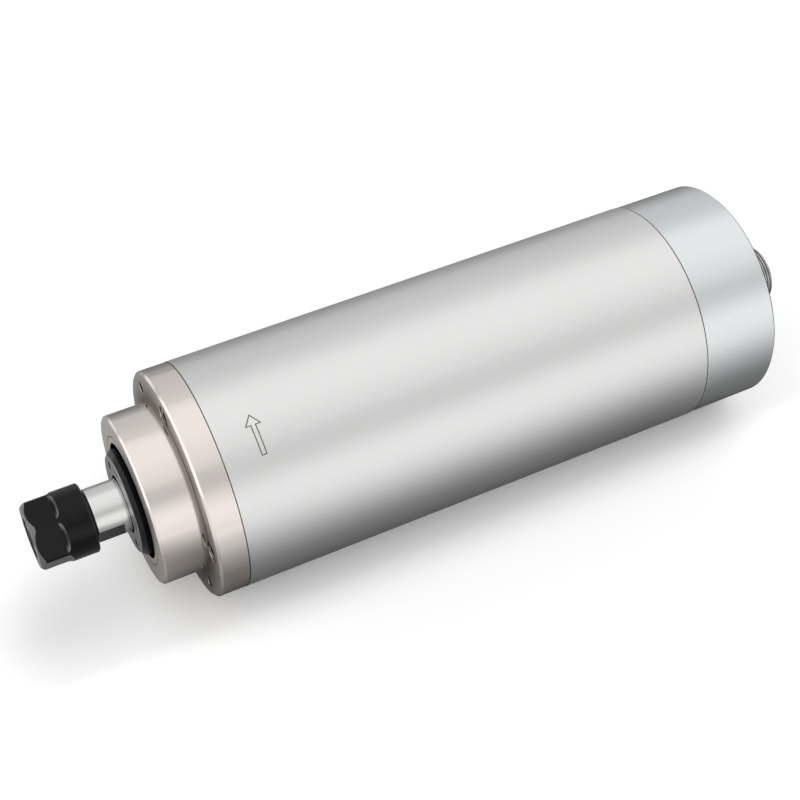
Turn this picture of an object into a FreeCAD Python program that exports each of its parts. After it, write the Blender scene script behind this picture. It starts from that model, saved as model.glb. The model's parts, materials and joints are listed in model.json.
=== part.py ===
import FreeCAD, Part
import math
import os
from FreeCAD import Vector

# Water-cooled motor spindle, lying on its side.
# Millimetres. +X runs along the axis to the rear, the collet nut points to -X, +Z is up.
# The origin is on the axis, half way along the steel barrel.
# Angles round the axis are counted from +Y towards +Z.

AXIS = Vector(1, 0, 0)
CENTRE = Vector(0, 0, 0)

# General fits
slip_fit = 0.02
running_clearance = 0.05
seat_gap = 0.3

# Barrel
barrel_outer_r = 40.0
barrel_wall = 4.0
barrel_length = 174.5
barrel_inner_r = barrel_outer_r - barrel_wall
barrel_front_x = -barrel_length / 2
barrel_rear_x = barrel_length / 2

# Front flange with its boss
flange_step = 0.1
flange_outer_r = barrel_outer_r - flange_step
flange_thickness = 10.0
spigot_length = 12.0
boss_inset = 10.3
boss_outer_r = flange_outer_r - boss_inset
boss_length = 15.3
boss_chamfer = 0.8
boss_foot_fillet = 0.5
flange_edge_chamfer = 0.8
flange_face_x = barrel_front_x - flange_thickness
boss_face_x = flange_face_x - boss_length
spigot_end_x = barrel_front_x + spigot_length

# Screws that hold the flange and the rear cap
screw_r = 2.0
screw_head_r = 3.5
screw_head_height = 4.0
screw_socket_flats = 3.0
screw_socket_depth = 2.2
screw_grip = 8.0
counterbore_r = 3.7
counterbore_depth = 4.4
screw_inset = 3.5
screw_circle_r = barrel_inner_r - screw_inset
screw_count = 4
screw_angle = 87.0

# Small threaded holes in the flange face
tapped_hole_r = 2.0
tapped_hole_depth = 8.0
tapped_inset = 5.4
tapped_circle_r = flange_outer_r - tapped_inset
tapped_count = 2
tapped_angle = 43.0

# Front bearings, an angular contact pair
front_bearing_outer_r = 21.0
front_bearing_bore_r = 10.0
front_bearing_width = 12.0
front_bearing_count = 2
front_outer_race_r = 18.4
front_inner_race_r = 12.6
front_ball_r = 2.85
front_ball_count = 11
front_shoulder_offset = 6.5
front_shoulder_bore_r = 18.0
front_shoulder_x = barrel_front_x + front_shoulder_offset
front_bearing_start_x = front_shoulder_x - front_bearing_count * front_bearing_width

# Flanged ring that holds the front outer rings; its rim lies flush in the mouth of the boss
retainer_thickness = 2.5
retainer_inner_r = 17.6
retainer_sleeve_wall = 0.7
retainer_rim_step = 1.7
retainer_rim_width = 2.0
retainer_notch_width = 4.0
retainer_notch_count = 4
retainer_front_x = front_bearing_start_x - retainer_thickness
retainer_rim_r = front_bearing_outer_r + retainer_rim_step
retainer_rim_x = boss_face_x + retainer_rim_width

# Rear bearing
rear_bearing_outer_r = 16.0
rear_bearing_bore_r = 7.5
rear_bearing_width = 9.0
rear_outer_race_r = 13.9
rear_inner_race_r = 9.6
rear_ball_r = 2.1
rear_ball_count = 9

# Ball cages
cage_rim_width = 1.4
cage_rim_depth = 1.8
cage_prong_width = 1.5
cage_rim_gap = 0.3

# Water jacket inside the barrel
gasket_thickness = 0.8
jacket_wall = 7.0
jacket_inner_r = barrel_inner_r - jacket_wall
channel_count = 8
channel_width = 12.0
channel_depth = 3.5
channel_end_wall = 9.2
channel_link_width = 10.0
channel_link_reach = 3.2
divider_angle = 312.0
plate_thickness = 23.7
plate_front_x = barrel_rear_x - plate_thickness
jacket_front_x = spigot_end_x + gasket_thickness
jacket_rear_x = plate_front_x - gasket_thickness

# Stator and rotor
stator_length = 70.0
stator_setback = 33.2
stator_depth = 11.5
stator_slot_count = 24
stator_slot_width = 2.4
back_iron = 4.5
winding_inset = 1.0
end_turn_outer_gap = 2.0
end_turn_inner_gap = 1.5
end_turn_length = 12.0
air_gap = 0.4
rotor_ring_length = 7.0
rotor_ring_inset = 0.9
rotor_depth = 5.1
stator_front_x = jacket_front_x + stator_setback
stator_rear_x = stator_front_x + stator_length
stator_bore_r = jacket_inner_r - stator_depth
stator_slot_bottom_r = jacket_inner_r - back_iron
end_turn_outer_r = jacket_inner_r - end_turn_outer_gap
end_turn_inner_r = stator_bore_r + end_turn_inner_gap
rotor_outer_r = stator_bore_r - air_gap
rotor_ring_outer_r = rotor_outer_r - rotor_ring_inset
rotor_seat_r = rotor_outer_r - rotor_depth

# Rear bearing plate
plate_bearing_depth = 15.7
plate_back_bore_r = 12.5
plate_shoulder_x = plate_front_x + plate_bearing_depth
wave_height = 0.9
wave_thickness = 0.5
wave_count = 3
wave_steps = 18
rear_bearing_end_x = plate_shoulder_x - wave_height - wave_thickness
rear_bearing_start_x = rear_bearing_end_x - rear_bearing_width

# Rear cap
cap_step = 0.2
cap_outer_r = barrel_outer_r - cap_step
cap_length = 28.5
cap_end_wall = 6.0
cap_wall = 9.8
cap_chamber_r = cap_outer_r - cap_wall
cap_edge_chamfer = 0.8
cap_rear_x = barrel_rear_x + cap_length
cap_wall_x = cap_rear_x - cap_end_wall

# Shaft
shaft_nose_r = 9.25
nose_thread_r = 9.2
nose_overhang = 24.6
shaft_shoulder_step = 3.0
shaft_shoulder_r = front_bearing_bore_r + shaft_shoulder_step
rear_journal_step = 1.9
rear_journal_r = rear_bearing_bore_r + rear_journal_step
shaft_tail_length = 6.5
spanner_flats = 17.0
spanner_flat_length = 9.0
spanner_angle = 14.4
thread_chamfer = 0.6

# Dust ring, which is also the lock nut of the front bearings
dust_ring_r = 18.5
dust_ring_proud = 3.2
dust_ring_gap = 0.5
dust_hub_r = 13.2
dust_chamfer = 0.8
dust_recess = 1.5
pin_hole_r = 1.3
pin_hole_depth = 3.5
pin_hole_circle_r = 13.7
pin_hole_angle = 45.0
dust_ring_front_x = boss_face_x - dust_ring_proud
dust_ring_back_x = retainer_front_x - dust_ring_gap

# Rear lock nut
rear_nut_flats = 21.0
rear_nut_thickness = 5.0

# Collet
collet_length = 27.5
collet_r = 8.5
collet_bore_r = 3.0
collet_taper_angle = 8.0
collet_face_angle = 30.0
collet_face_length = 2.7
collet_groove_start = 4.0
collet_groove_width = 1.8
collet_groove_r = 7.3
collet_head_length = 6.3
collet_slit_count = 4
collet_slit_width = 0.8
collet_slit_web = 4.5
collet_stand_off = 0.6
taper_clearance = 0.04
shank_relief_r = 5.2
shank_relief_depth = 12.0

# Collet nut
nut_outer_r = 12.0
nut_length = 19.7
nut_mouth_r = 6.9
nut_flats = 21.4
nut_flat_count = 6
nut_flat_length = 10.8
nut_flat_runout_r = 2.0
nut_flat_angle = 28.5
nut_front_chamfer = 1.6
nut_rear_chamfer = 0.5
nut_thread_runout = 0.5
nut_lip_r = 7.55
nut_lip_width = 1.2
nut_chamber_r = 8.8
collet_sink = 0.3

# Places along the nose
nose_x = dust_ring_front_x - nose_overhang
collet_front_x = nose_x - collet_stand_off - collet_head_length
nut_front_x = collet_front_x - collet_sink
nut_rear_x = nut_front_x + nut_length

# Power socket in the rear cap
socket_thread_r = 10.04
socket_height = 8.0
socket_bore_r = 8.4
socket_tail_r = 9.2
socket_tail_length = 3.0
socket_hex_flats = 23.0
socket_hex_thickness = 2.5
socket_rim_chamfer = 0.5
socket_chamber_gap = 0.3
socket_angle = 129.9
socket_circle_r = cap_chamber_r - socket_tail_r - socket_chamber_gap
insert_thickness = 5.0
contact_pin_r = 1.2
contact_pin_circle_r = 5.4
contact_pin_count = 4
contact_pin_height = 6.0
contact_tail_length = 4.0

# Motor lead from the windings to the power socket
lead_r = 2.4
lead_clearance = 0.4

# Water fittings
fitting_stem_r = 4.0
fitting_stem_length = 10.5
fitting_bore_r = 2.2
fitting_hex_flats = 11.0
fitting_hex_thickness = 5.0
fitting_thread_r = 3.6
fitting_thread_length = 5.0
fitting_tip_chamfer = 0.8
water_passage_r = 2.2
water_inset = 3.0
water_circle_r = barrel_inner_r - water_inset


def turned(profile):
    """Solid of revolution about the X axis from (x, radius) points."""
    points = [Vector(x, 0, r) for x, r in profile]
    outline = Part.makePolygon(points + [points[0]])
    return Part.Face(outline).revolve(CENTRE, AXIS, 360)


def tube(start_x, end_x, outer_r, inner_r):
    return turned([(start_x, inner_r), (end_x, inner_r), (end_x, outer_r), (start_x, outer_r)])


def rod(start_x, end_x, radius, place=CENTRE):
    return Part.makeCylinder(radius, end_x - start_x, Vector(start_x, place.y, place.z), AXIS)


def hexagon(start_x, end_x, flats, place=CENTRE, turn=0.0):
    corner_r = flats / math.sqrt(3)
    corners = [around(corner_r, turn + 60 * k, start_x) + place for k in range(7)]
    return Part.Face(Part.makePolygon(corners)).extrude(Vector(end_x - start_x, 0, 0))


def around(radius, angle, x=0.0):
    """Point at a radius and an angle round the axis."""
    turn = math.radians(angle)
    return Vector(x, radius * math.cos(turn), radius * math.sin(turn))


def angles(count, first):
    return [first + 360.0 * k / count for k in range(count)]


def polygon_ring(start_x, end_x, outer_r, inner_r, sides, first_angle):
    """Flat-sided ring, one side for each thing that repeats round it."""
    rims = []
    for radius in (outer_r, inner_r):
        corners = [around(radius, a, start_x) for a in angles(sides, first_angle)]
        rim = Part.Face(Part.makePolygon(corners + [corners[0]]))
        rims.append(rim.extrude(Vector(end_x - start_x, 0, 0)))
    return rims[0].cut(rims[1])


def radial_box(start_x, end_x, low_r, high_r, width, angle):
    """Box with its length along X that stands out along a radius."""
    block = Part.makeBox(end_x - start_x, high_r - low_r, width, Vector(start_x, low_r, -width / 2))
    block.rotate(CENTRE, AXIS, angle)
    return block


def write(name, shape):
    solids = shape.Solids
    body = solids[0] if len(solids) == 1 else Part.makeCompound(solids)
    body.exportStep("parts/" + name + ".step")
    print(name, "solids", len(solids), "valid", body.isValid(), "volume", round(body.Volume, 2))


# Housing

def barrel():
    return tube(barrel_front_x, barrel_rear_x, barrel_outer_r, barrel_inner_r)


def front_flange():
    foot = boss_foot_fillet
    spigot_r = barrel_inner_r - slip_fit
    blank = turned([
        (boss_face_x, retainer_rim_r),
        (boss_face_x, boss_outer_r - boss_chamfer),
        (boss_face_x + boss_chamfer, boss_outer_r),
        (flange_face_x - foot, boss_outer_r),
        (flange_face_x, boss_outer_r + foot),
        (flange_face_x, flange_outer_r - flange_edge_chamfer),
        (flange_face_x + flange_edge_chamfer, flange_outer_r),
        (barrel_front_x, flange_outer_r),
        (barrel_front_x, spigot_r),
        (spigot_end_x, spigot_r),
        (spigot_end_x, front_shoulder_bore_r),
        (front_shoulder_x, front_shoulder_bore_r),
        (front_shoulder_x, front_bearing_outer_r),
        (retainer_rim_x, front_bearing_outer_r),
        (retainer_rim_x, retainer_rim_r),
    ])
    holes = []
    for angle in angles(screw_count, screw_angle):
        place = around(screw_circle_r, angle)
        holes.append(rod(flange_face_x, flange_face_x + counterbore_depth, counterbore_r, place))
        holes.append(rod(flange_face_x, spigot_end_x, screw_r + slip_fit, place))
    for angle in angles(tapped_count, tapped_angle):
        place = around(tapped_circle_r, angle)
        holes.append(rod(flange_face_x, flange_face_x + tapped_hole_depth, tapped_hole_r, place))
    return blank.cut(holes)


def socket_screws(head_x, tip_x):
    """Set of cap screws. The head lies at head_x and the tip at tip_x, either way round."""
    inward = 1 if tip_x > head_x else -1
    under_head_x = head_x + inward * screw_head_height
    socket_end_x = head_x + inward * screw_socket_depth
    screws = []
    for angle in angles(screw_count, screw_angle):
        place = around(screw_circle_r, angle)
        head = rod(min(head_x, under_head_x), max(head_x, under_head_x), screw_head_r, place)
        shank = rod(min(under_head_x, tip_x), max(under_head_x, tip_x), screw_r, place)
        socket = hexagon(min(head_x, socket_end_x), max(head_x, socket_end_x),
                         screw_socket_flats, place)
        screws.append(head.fuse(shank).cut(socket))
    return Part.makeCompound(screws)


def flange_screws():
    head_x = flange_face_x + counterbore_depth - screw_head_height
    return socket_screws(head_x, jacket_front_x + screw_grip)


def front_bearing_retainer():
    outer_r = front_bearing_outer_r - slip_fit
    sleeve_r = outer_r - retainer_sleeve_wall
    ring = turned([
        (boss_face_x, sleeve_r),
        (boss_face_x, retainer_rim_r - slip_fit),
        (retainer_rim_x, retainer_rim_r - slip_fit),
        (retainer_rim_x, outer_r),
        (front_bearing_start_x, outer_r),
        (front_bearing_start_x, retainer_inner_r),
        (retainer_front_x, retainer_inner_r),
        (retainer_front_x, sleeve_r),
    ])
    middle_x = retainer_front_x + retainer_thickness / 2
    middle_r = (outer_r + retainer_inner_r) / 2
    notches = []
    for angle in angles(retainer_notch_count, screw_angle):
        notches.append(radial_box(retainer_front_x, middle_x, retainer_inner_r - 1, middle_r,
                                  retainer_notch_width, angle))
    return ring.cut(notches)


def bearing_rings(start_x, width, count, outer_r, inner_r):
    rings = []
    for k in range(count):
        ring_x = start_x + k * width
        rings.append(tube(ring_x, ring_x + width, outer_r, inner_r))
    return Part.makeCompound(rings)


def front_outer_rings():
    return bearing_rings(front_bearing_start_x, front_bearing_width, front_bearing_count,
                         front_bearing_outer_r - slip_fit, front_outer_race_r)


def rear_outer_ring():
    return bearing_rings(rear_bearing_start_x, rear_bearing_width, 1,
                         rear_bearing_outer_r - slip_fit, rear_outer_race_r)


def cooling_jacket():
    """Sleeve with lengthwise channels that join at alternate ends, so the water snakes round."""
    outer_r = barrel_inner_r - slip_fit
    floor_r = barrel_inner_r - channel_depth
    beyond_r = barrel_inner_r + 1
    pitch = 360.0 / channel_count
    front_end_x = jacket_front_x + channel_end_wall
    rear_end_x = jacket_rear_x - channel_end_wall
    rib_width = 2 * math.pi * floor_r / channel_count - channel_width
    link_width = rib_width + 2 * channel_link_reach
    sleeve = tube(jacket_front_x, jacket_rear_x, outer_r, jacket_inner_r)
    cuts = []
    for k in range(channel_count):
        angle = divider_angle + (k + 0.5) * pitch
        at_port = k in (0, channel_count - 1)
        end_x = jacket_rear_x if at_port else rear_end_x
        cuts.append(radial_box(front_end_x, end_x, floor_r, beyond_r, channel_width, angle))
        if k < channel_count - 1:
            link_x = front_end_x if k % 2 == 0 else rear_end_x - channel_link_width
            cuts.append(radial_box(link_x, link_x + channel_link_width, floor_r, beyond_r,
                                   link_width, angle + pitch / 2))
    for angle in angles(screw_count, screw_angle):
        place = around(screw_circle_r, angle)
        cuts.append(rod(jacket_front_x, jacket_front_x + screw_grip + seat_gap,
                        screw_r + slip_fit, place))
        cuts.append(rod(jacket_rear_x - screw_grip - seat_gap, jacket_rear_x,
                        screw_r + slip_fit, place))
    return sleeve.cut(cuts)


def jacket_gaskets():
    outer_r = barrel_inner_r - slip_fit
    front = tube(spigot_end_x, jacket_front_x, outer_r, jacket_inner_r)
    rear = tube(jacket_rear_x, plate_front_x, outer_r, jacket_inner_r)
    holes = []
    for angle in angles(screw_count, screw_angle):
        holes.append(rod(spigot_end_x, plate_front_x, screw_r + slip_fit,
                         around(screw_circle_r, angle)))
    passages = water_passages(jacket_rear_x, plate_front_x)
    return Part.makeCompound([front.cut(holes), rear.cut(holes + passages)])


def water_passages(start_x, end_x):
    passages = []
    for place in water_ports():
        passages.append(rod(start_x, end_x, water_passage_r, place))
    return passages


def water_ports():
    """Centres of the inlet and the outlet, over the first and the last channel."""
    half_pitch = 180.0 / channel_count
    return [around(water_circle_r, divider_angle + half_pitch),
            around(water_circle_r, divider_angle - half_pitch)]


def stator_core():
    core = tube(stator_front_x, stator_rear_x, jacket_inner_r - slip_fit, stator_bore_r)
    slots = []
    for angle in angles(stator_slot_count, 0):
        slots.append(radial_box(stator_front_x, stator_rear_x, stator_bore_r - 1,
                                stator_slot_bottom_r, stator_slot_width, angle))
    return core.cut(slots)


def stator_windings():
    """Bars of wire in the slots, and the bundled end turns past both faces of the core."""
    half_pitch = 180.0 / stator_slot_count
    pieces = []
    for start_x in (stator_front_x - end_turn_length, stator_rear_x):
        pieces.append(polygon_ring(start_x, start_x + end_turn_length, end_turn_outer_r,
                                   end_turn_inner_r, stator_slot_count, half_pitch))
    for angle in angles(stator_slot_count, 0):
        pieces.append(radial_box(stator_front_x, stator_rear_x, stator_bore_r + winding_inset + 1,
                                 stator_slot_bottom_r - slip_fit,
                                 stator_slot_width - 2 * slip_fit, angle))
    return pieces[0].fuse(pieces[1:]).removeSplitter()


def rear_bearing_plate():
    disc = turned([
        (plate_front_x, rear_bearing_outer_r),
        (plate_shoulder_x, rear_bearing_outer_r),
        (plate_shoulder_x, plate_back_bore_r),
        (barrel_rear_x, plate_back_bore_r),
        (barrel_rear_x, barrel_inner_r - slip_fit),
        (plate_front_x, barrel_inner_r - slip_fit),
    ])
    holes = water_passages(plate_front_x, barrel_rear_x)
    for angle in angles(screw_count, screw_angle):
        holes.append(rod(plate_front_x, barrel_rear_x, screw_r + slip_fit,
                         around(screw_circle_r, angle)))
    holes.append(rod(plate_front_x, barrel_rear_x, lead_r + lead_clearance, socket_place()))
    return disc.cut(holes)


def preload_washer():
    """Wavy spring washer between the rear outer ring and the shoulder of its plate."""
    middle_x = plate_shoulder_x - (wave_height + wave_thickness) / 2
    swing = wave_height / 2
    inner_r = plate_back_bore_r + seat_gap
    outer_r = rear_bearing_outer_r - seat_gap
    corners = []
    for k in range(wave_steps):
        angle = 360.0 * k / wave_steps
        crest_x = middle_x + swing * math.cos(math.radians(wave_count * angle))
        front_x = crest_x - wave_thickness / 2
        back_x = crest_x + wave_thickness / 2
        corners.append([around(inner_r, angle, front_x), around(outer_r, angle, front_x),
                        around(outer_r, angle, back_x), around(inner_r, angle, back_x)])
    faces = []
    for k in range(wave_steps):
        here = corners[k]
        there = corners[(k + 1) % wave_steps]
        for side in range(4):
            a, b = here[side], here[(side + 1) % 4]
            c, d = there[(side + 1) % 4], there[side]
            faces.append(Part.Face(Part.makePolygon([a, b, c, a])))
            faces.append(Part.Face(Part.makePolygon([a, c, d, a])))
    solid = Part.Solid(Part.Shell(faces))
    if solid.Volume < 0:
        solid.reverse()
    return solid


def socket_place():
    return around(socket_circle_r, socket_angle)


def rear_cap():
    cap = turned([
        (barrel_rear_x, cap_chamber_r),
        (barrel_rear_x, cap_outer_r),
        (cap_rear_x - cap_edge_chamfer, cap_outer_r),
        (cap_rear_x, cap_outer_r - cap_edge_chamfer),
        (cap_rear_x, 0),
        (cap_wall_x, 0),
        (cap_wall_x, cap_chamber_r),
    ])
    holes = water_passages(barrel_rear_x, cap_rear_x)
    for place in water_ports():
        holes.append(rod(cap_rear_x - fitting_thread_length - seat_gap, cap_rear_x,
                         fitting_thread_r + slip_fit, place))
    for angle in angles(screw_count, screw_angle):
        place = around(screw_circle_r, angle)
        holes.append(rod(barrel_rear_x, cap_rear_x, screw_r + slip_fit, place))
        holes.append(rod(cap_rear_x - counterbore_depth, cap_rear_x, counterbore_r, place))
    holes.append(rod(cap_wall_x, cap_rear_x, socket_tail_r + slip_fit, socket_place()))
    return cap.cut(holes)


def rear_cap_screws():
    head_x = cap_rear_x - counterbore_depth + screw_head_height
    return socket_screws(head_x, jacket_rear_x - screw_grip)


def power_socket_shell():
    rim_x = cap_rear_x + socket_height
    shell = turned([
        (cap_wall_x - socket_tail_length, socket_bore_r),
        (rim_x, socket_bore_r),
        (rim_x, socket_thread_r - socket_rim_chamfer),
        (rim_x - socket_rim_chamfer, socket_thread_r),
        (cap_rear_x, socket_thread_r),
        (cap_rear_x, socket_tail_r),
        (cap_wall_x - socket_tail_length, socket_tail_r),
    ])
    collar = hexagon(cap_rear_x, cap_rear_x + socket_hex_thickness, socket_hex_flats)
    collar = collar.cut(rod(cap_rear_x, cap_rear_x + socket_hex_thickness, socket_bore_r))
    shell = shell.fuse(collar)
    shell.translate(socket_place())
    return shell


def power_socket_insert():
    return rod(insert_start_x(), insert_start_x() + insert_thickness, socket_bore_r - slip_fit,
               socket_place()).cut(contact_pins(slip_fit))


def insert_start_x():
    return cap_wall_x - socket_tail_length


def contact_pins(extra_r):
    start_x = insert_start_x() - contact_tail_length
    end_x = insert_start_x() + insert_thickness + contact_pin_height
    pins = []
    for angle in angles(contact_pin_count, 45):
        place = socket_place() + around(contact_pin_circle_r, angle)
        pins.append(rod(start_x, end_x, contact_pin_r + extra_r, place))
    return pins


def power_socket_pins():
    return Part.makeCompound(contact_pins(0))


def motor_lead():
    return rod(stator_rear_x + end_turn_length + seat_gap, insert_start_x() - seat_gap, lead_r,
               socket_place())


def water_fitting(place):
    tip_x = cap_rear_x + fitting_hex_thickness + fitting_stem_length
    fitting = turned([
        (cap_rear_x - fitting_thread_length, fitting_bore_r),
        (tip_x, fitting_bore_r),
        (tip_x, fitting_stem_r - fitting_tip_chamfer),
        (tip_x - fitting_tip_chamfer, fitting_stem_r),
        (cap_rear_x, fitting_stem_r),
        (cap_rear_x, fitting_thread_r),
        (cap_rear_x - fitting_thread_length, fitting_thread_r),
    ])
    hex_collar = hexagon(cap_rear_x, cap_rear_x + fitting_hex_thickness, fitting_hex_flats)
    hex_collar = hex_collar.cut(rod(cap_rear_x, cap_rear_x + fitting_hex_thickness,
                                    fitting_bore_r))
    fitting = fitting.fuse(hex_collar)
    fitting.translate(place)
    return fitting


# Rotating parts

def taper_r(x):
    """Radius of the 8 degree taper, which starts behind the head of the collet."""
    drop = (x - collet_front_x - collet_head_length) * math.tan(math.radians(collet_taper_angle))
    return collet_r - drop


def spindle_shaft():
    thread_end_x = nut_rear_x + nut_thread_runout
    lock_thread_x = dust_ring_front_x + dust_recess
    shoulder_end_x = stator_front_x - rotor_ring_length
    tail_x = rear_bearing_end_x + shaft_tail_length
    taper_end_x = collet_front_x + collet_length + 1
    mouth_r = taper_r(nose_x) + taper_clearance
    shaft = turned([
        (nose_x, mouth_r),
        (nose_x, nose_thread_r - thread_chamfer / 2),
        (nose_x + thread_chamfer, nose_thread_r),
        (thread_end_x, nose_thread_r),
        (thread_end_x, shaft_nose_r),
        (lock_thread_x, shaft_nose_r),
        (lock_thread_x, front_bearing_bore_r),
        (front_shoulder_x, front_bearing_bore_r),
        (front_shoulder_x, shaft_shoulder_r),
        (shoulder_end_x, shaft_shoulder_r),
        (shoulder_end_x, rotor_seat_r),
        (stator_rear_x + rotor_ring_length, rotor_seat_r),
        (stator_rear_x + rotor_ring_length, rear_journal_r),
        (rear_bearing_start_x, rear_journal_r),
        (rear_bearing_start_x, rear_bearing_bore_r),
        (tail_x, rear_bearing_bore_r),
        (tail_x, 0),
        (taper_end_x + shank_relief_depth, 0),
        (taper_end_x + shank_relief_depth, shank_relief_r),
        (taper_end_x, shank_relief_r),
        (taper_end_x, taper_r(taper_end_x) + taper_clearance),
    ])
    flat_start_x = thread_end_x
    flats = []
    for angle in angles(2, spanner_angle):
        flats.append(radial_box(flat_start_x, flat_start_x + spanner_flat_length,
                                spanner_flats / 2, shaft_nose_r + 1, 2 * shaft_nose_r, angle))
    return shaft.cut(flats)


def dust_ring():
    bore_r = front_bearing_bore_r + slip_fit
    ring = turned([
        (dust_ring_front_x, bore_r),
        (dust_ring_front_x, dust_ring_r - dust_chamfer),
        (dust_ring_front_x + dust_chamfer, dust_ring_r),
        (dust_ring_back_x, dust_ring_r),
        (dust_ring_back_x, dust_hub_r),
        (front_bearing_start_x, dust_hub_r),
        (front_bearing_start_x, bore_r),
    ])
    holes = []
    for angle in angles(2, pin_hole_angle):
        holes.append(rod(dust_ring_front_x, dust_ring_front_x + pin_hole_depth, pin_hole_r,
                         around(pin_hole_circle_r, angle)))
    return ring.cut(holes)


def front_inner_rings():
    return bearing_rings(front_bearing_start_x, front_bearing_width, front_bearing_count,
                         front_inner_race_r, front_bearing_bore_r + slip_fit)


def rear_inner_ring():
    return bearing_rings(rear_bearing_start_x, rear_bearing_width, 1,
                         rear_inner_race_r, rear_bearing_bore_r + slip_fit)


def rotor_core():
    return tube(stator_front_x, stator_rear_x, rotor_outer_r, rotor_seat_r + slip_fit)


def rotor_end_rings():
    rings = []
    for start_x in (stator_front_x - rotor_ring_length, stator_rear_x):
        rings.append(tube(start_x, start_x + rotor_ring_length, rotor_ring_outer_r,
                          rotor_seat_r + slip_fit))
    return Part.makeCompound(rings)


def rear_lock_nut():
    end_x = rear_bearing_end_x + rear_nut_thickness
    block = hexagon(rear_bearing_end_x, end_x, rear_nut_flats)
    return block.cut(rod(rear_bearing_end_x, end_x, rear_bearing_bore_r + slip_fit))


# Balls and cages

def faceted_ball(radius):
    """Ball with eighteen flats, whose corners all lie inside the radius."""
    half = radius * math.sqrt(2.0 / 3.0)
    ball = Part.makeBox(2 * half, 2 * half, 2 * half, Vector(-half, -half, -half))
    for direction in (Vector(1, 0, 0), Vector(0, 1, 0), Vector(0, 0, 1)):
        turned_box = Part.makeBox(2 * half, 2 * half, 2 * half, Vector(-half, -half, -half))
        turned_box.rotate(CENTRE, direction, 45)
        ball = ball.common(turned_box)
    return ball


def ball_row(middle_x, circle_r, radius, count):
    pattern = faceted_ball(radius)
    balls = []
    for angle in angles(count, 0):
        ball = pattern.copy()
        ball.translate(around(circle_r, angle, middle_x))
        balls.append(ball)
    return balls


def ball_cage(middle_x, circle_r, radius, count):
    """Rim beside the balls, with a prong in each space between two of them."""
    pitch = 360.0 / count
    rim_x = middle_x + radius + cage_rim_gap
    inner_r = circle_r - cage_rim_depth / 2
    outer_r = circle_r + cage_rim_depth / 2
    cage = polygon_ring(rim_x, rim_x + cage_rim_width, outer_r, inner_r, count, pitch / 2)
    prongs = []
    for angle in angles(count, pitch / 2):
        prongs.append(radial_box(middle_x - radius / 2, rim_x + cage_rim_width / 2,
                                 inner_r + seat_gap, outer_r - seat_gap, cage_prong_width, angle))
    return cage.fuse(prongs)


def front_ball_rows():
    circle_r = (front_outer_race_r + front_inner_race_r) / 2
    rows = []
    for k in range(front_bearing_count):
        rows.append(front_bearing_start_x + (k + 0.5) * front_bearing_width)
    return rows, circle_r


def front_balls():
    rows, circle_r = front_ball_rows()
    balls = []
    for middle_x in rows:
        balls += ball_row(middle_x, circle_r, front_ball_r, front_ball_count)
    return Part.makeCompound(balls)


def front_cages():
    rows, circle_r = front_ball_rows()
    return Part.makeCompound([ball_cage(middle_x, circle_r, front_ball_r, front_ball_count)
                              for middle_x in rows])


def rear_ball_place():
    middle_x = rear_bearing_start_x + rear_bearing_width / 2
    circle_r = (rear_outer_race_r + rear_inner_race_r) / 2
    return middle_x, circle_r


def rear_balls():
    middle_x, circle_r = rear_ball_place()
    return Part.makeCompound(ball_row(middle_x, circle_r, rear_ball_r, rear_ball_count))


def rear_cage():
    middle_x, circle_r = rear_ball_place()
    return ball_cage(middle_x, circle_r, rear_ball_r, rear_ball_count)


# Collet and its nut

def collet():
    """Spring collet: slits run in from both ends by turns, so that it closes evenly."""
    front_x = collet_front_x
    rear_x = front_x + collet_length
    head_end_x = front_x + collet_head_length
    groove_x = front_x + collet_groove_start
    face_rise = collet_face_length * math.tan(math.radians(collet_face_angle))
    body = turned([
        (front_x, collet_bore_r),
        (front_x, collet_r - face_rise),
        (front_x + collet_face_length, collet_r),
        (groove_x, collet_r),
        (groove_x, collet_groove_r),
        (groove_x + collet_groove_width, collet_groove_r),
        (groove_x + collet_groove_width, collet_r),
        (head_end_x, collet_r),
        (rear_x, taper_r(rear_x)),
        (rear_x, collet_bore_r),
    ])
    slits = []
    for angle in angles(collet_slit_count, 0):
        slits.append(radial_box(front_x, rear_x - collet_slit_web, collet_bore_r / 2,
                                collet_r + 1, collet_slit_width, angle))
    for angle in angles(collet_slit_count, 180.0 / collet_slit_count):
        slits.append(radial_box(front_x + collet_slit_web, rear_x, collet_bore_r / 2,
                                collet_r + 1, collet_slit_width, angle))
    return body.cut(slits)


def collet_nut():
    front_x = nut_front_x
    groove_x = collet_front_x + collet_groove_start
    lip_gap = (collet_groove_width - nut_lip_width) / 2
    lip_x = groove_x + lip_gap
    land_x = collet_front_x + collet_face_length
    chamber_end_x = nose_x - seat_gap
    bore_r = nose_thread_r + running_clearance
    rise = math.tan(math.radians(collet_face_angle))
    cone_r = collet_r + taper_clearance
    mouth_end_x = land_x - (cone_r - nut_mouth_r) / rise
    blank = turned([
        (front_x, nut_mouth_r),
        (front_x, nut_outer_r - nut_front_chamfer),
        (front_x + nut_front_chamfer, nut_outer_r),
        (nut_rear_x - nut_rear_chamfer, nut_outer_r),
        (nut_rear_x, nut_outer_r - nut_rear_chamfer),
        (nut_rear_x, bore_r),
        (chamber_end_x, bore_r),
        (chamber_end_x, nut_chamber_r),
        (lip_x + nut_lip_width, nut_chamber_r),
        (lip_x + nut_lip_width, nut_lip_r),
        (lip_x, nut_lip_r),
        (lip_x, cone_r),
        (land_x, cone_r),
        (mouth_end_x, nut_mouth_r),
    ])
    return blank.cut([nut_flat_cut(angle) for angle in angles(nut_flat_count, nut_flat_angle)])


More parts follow.
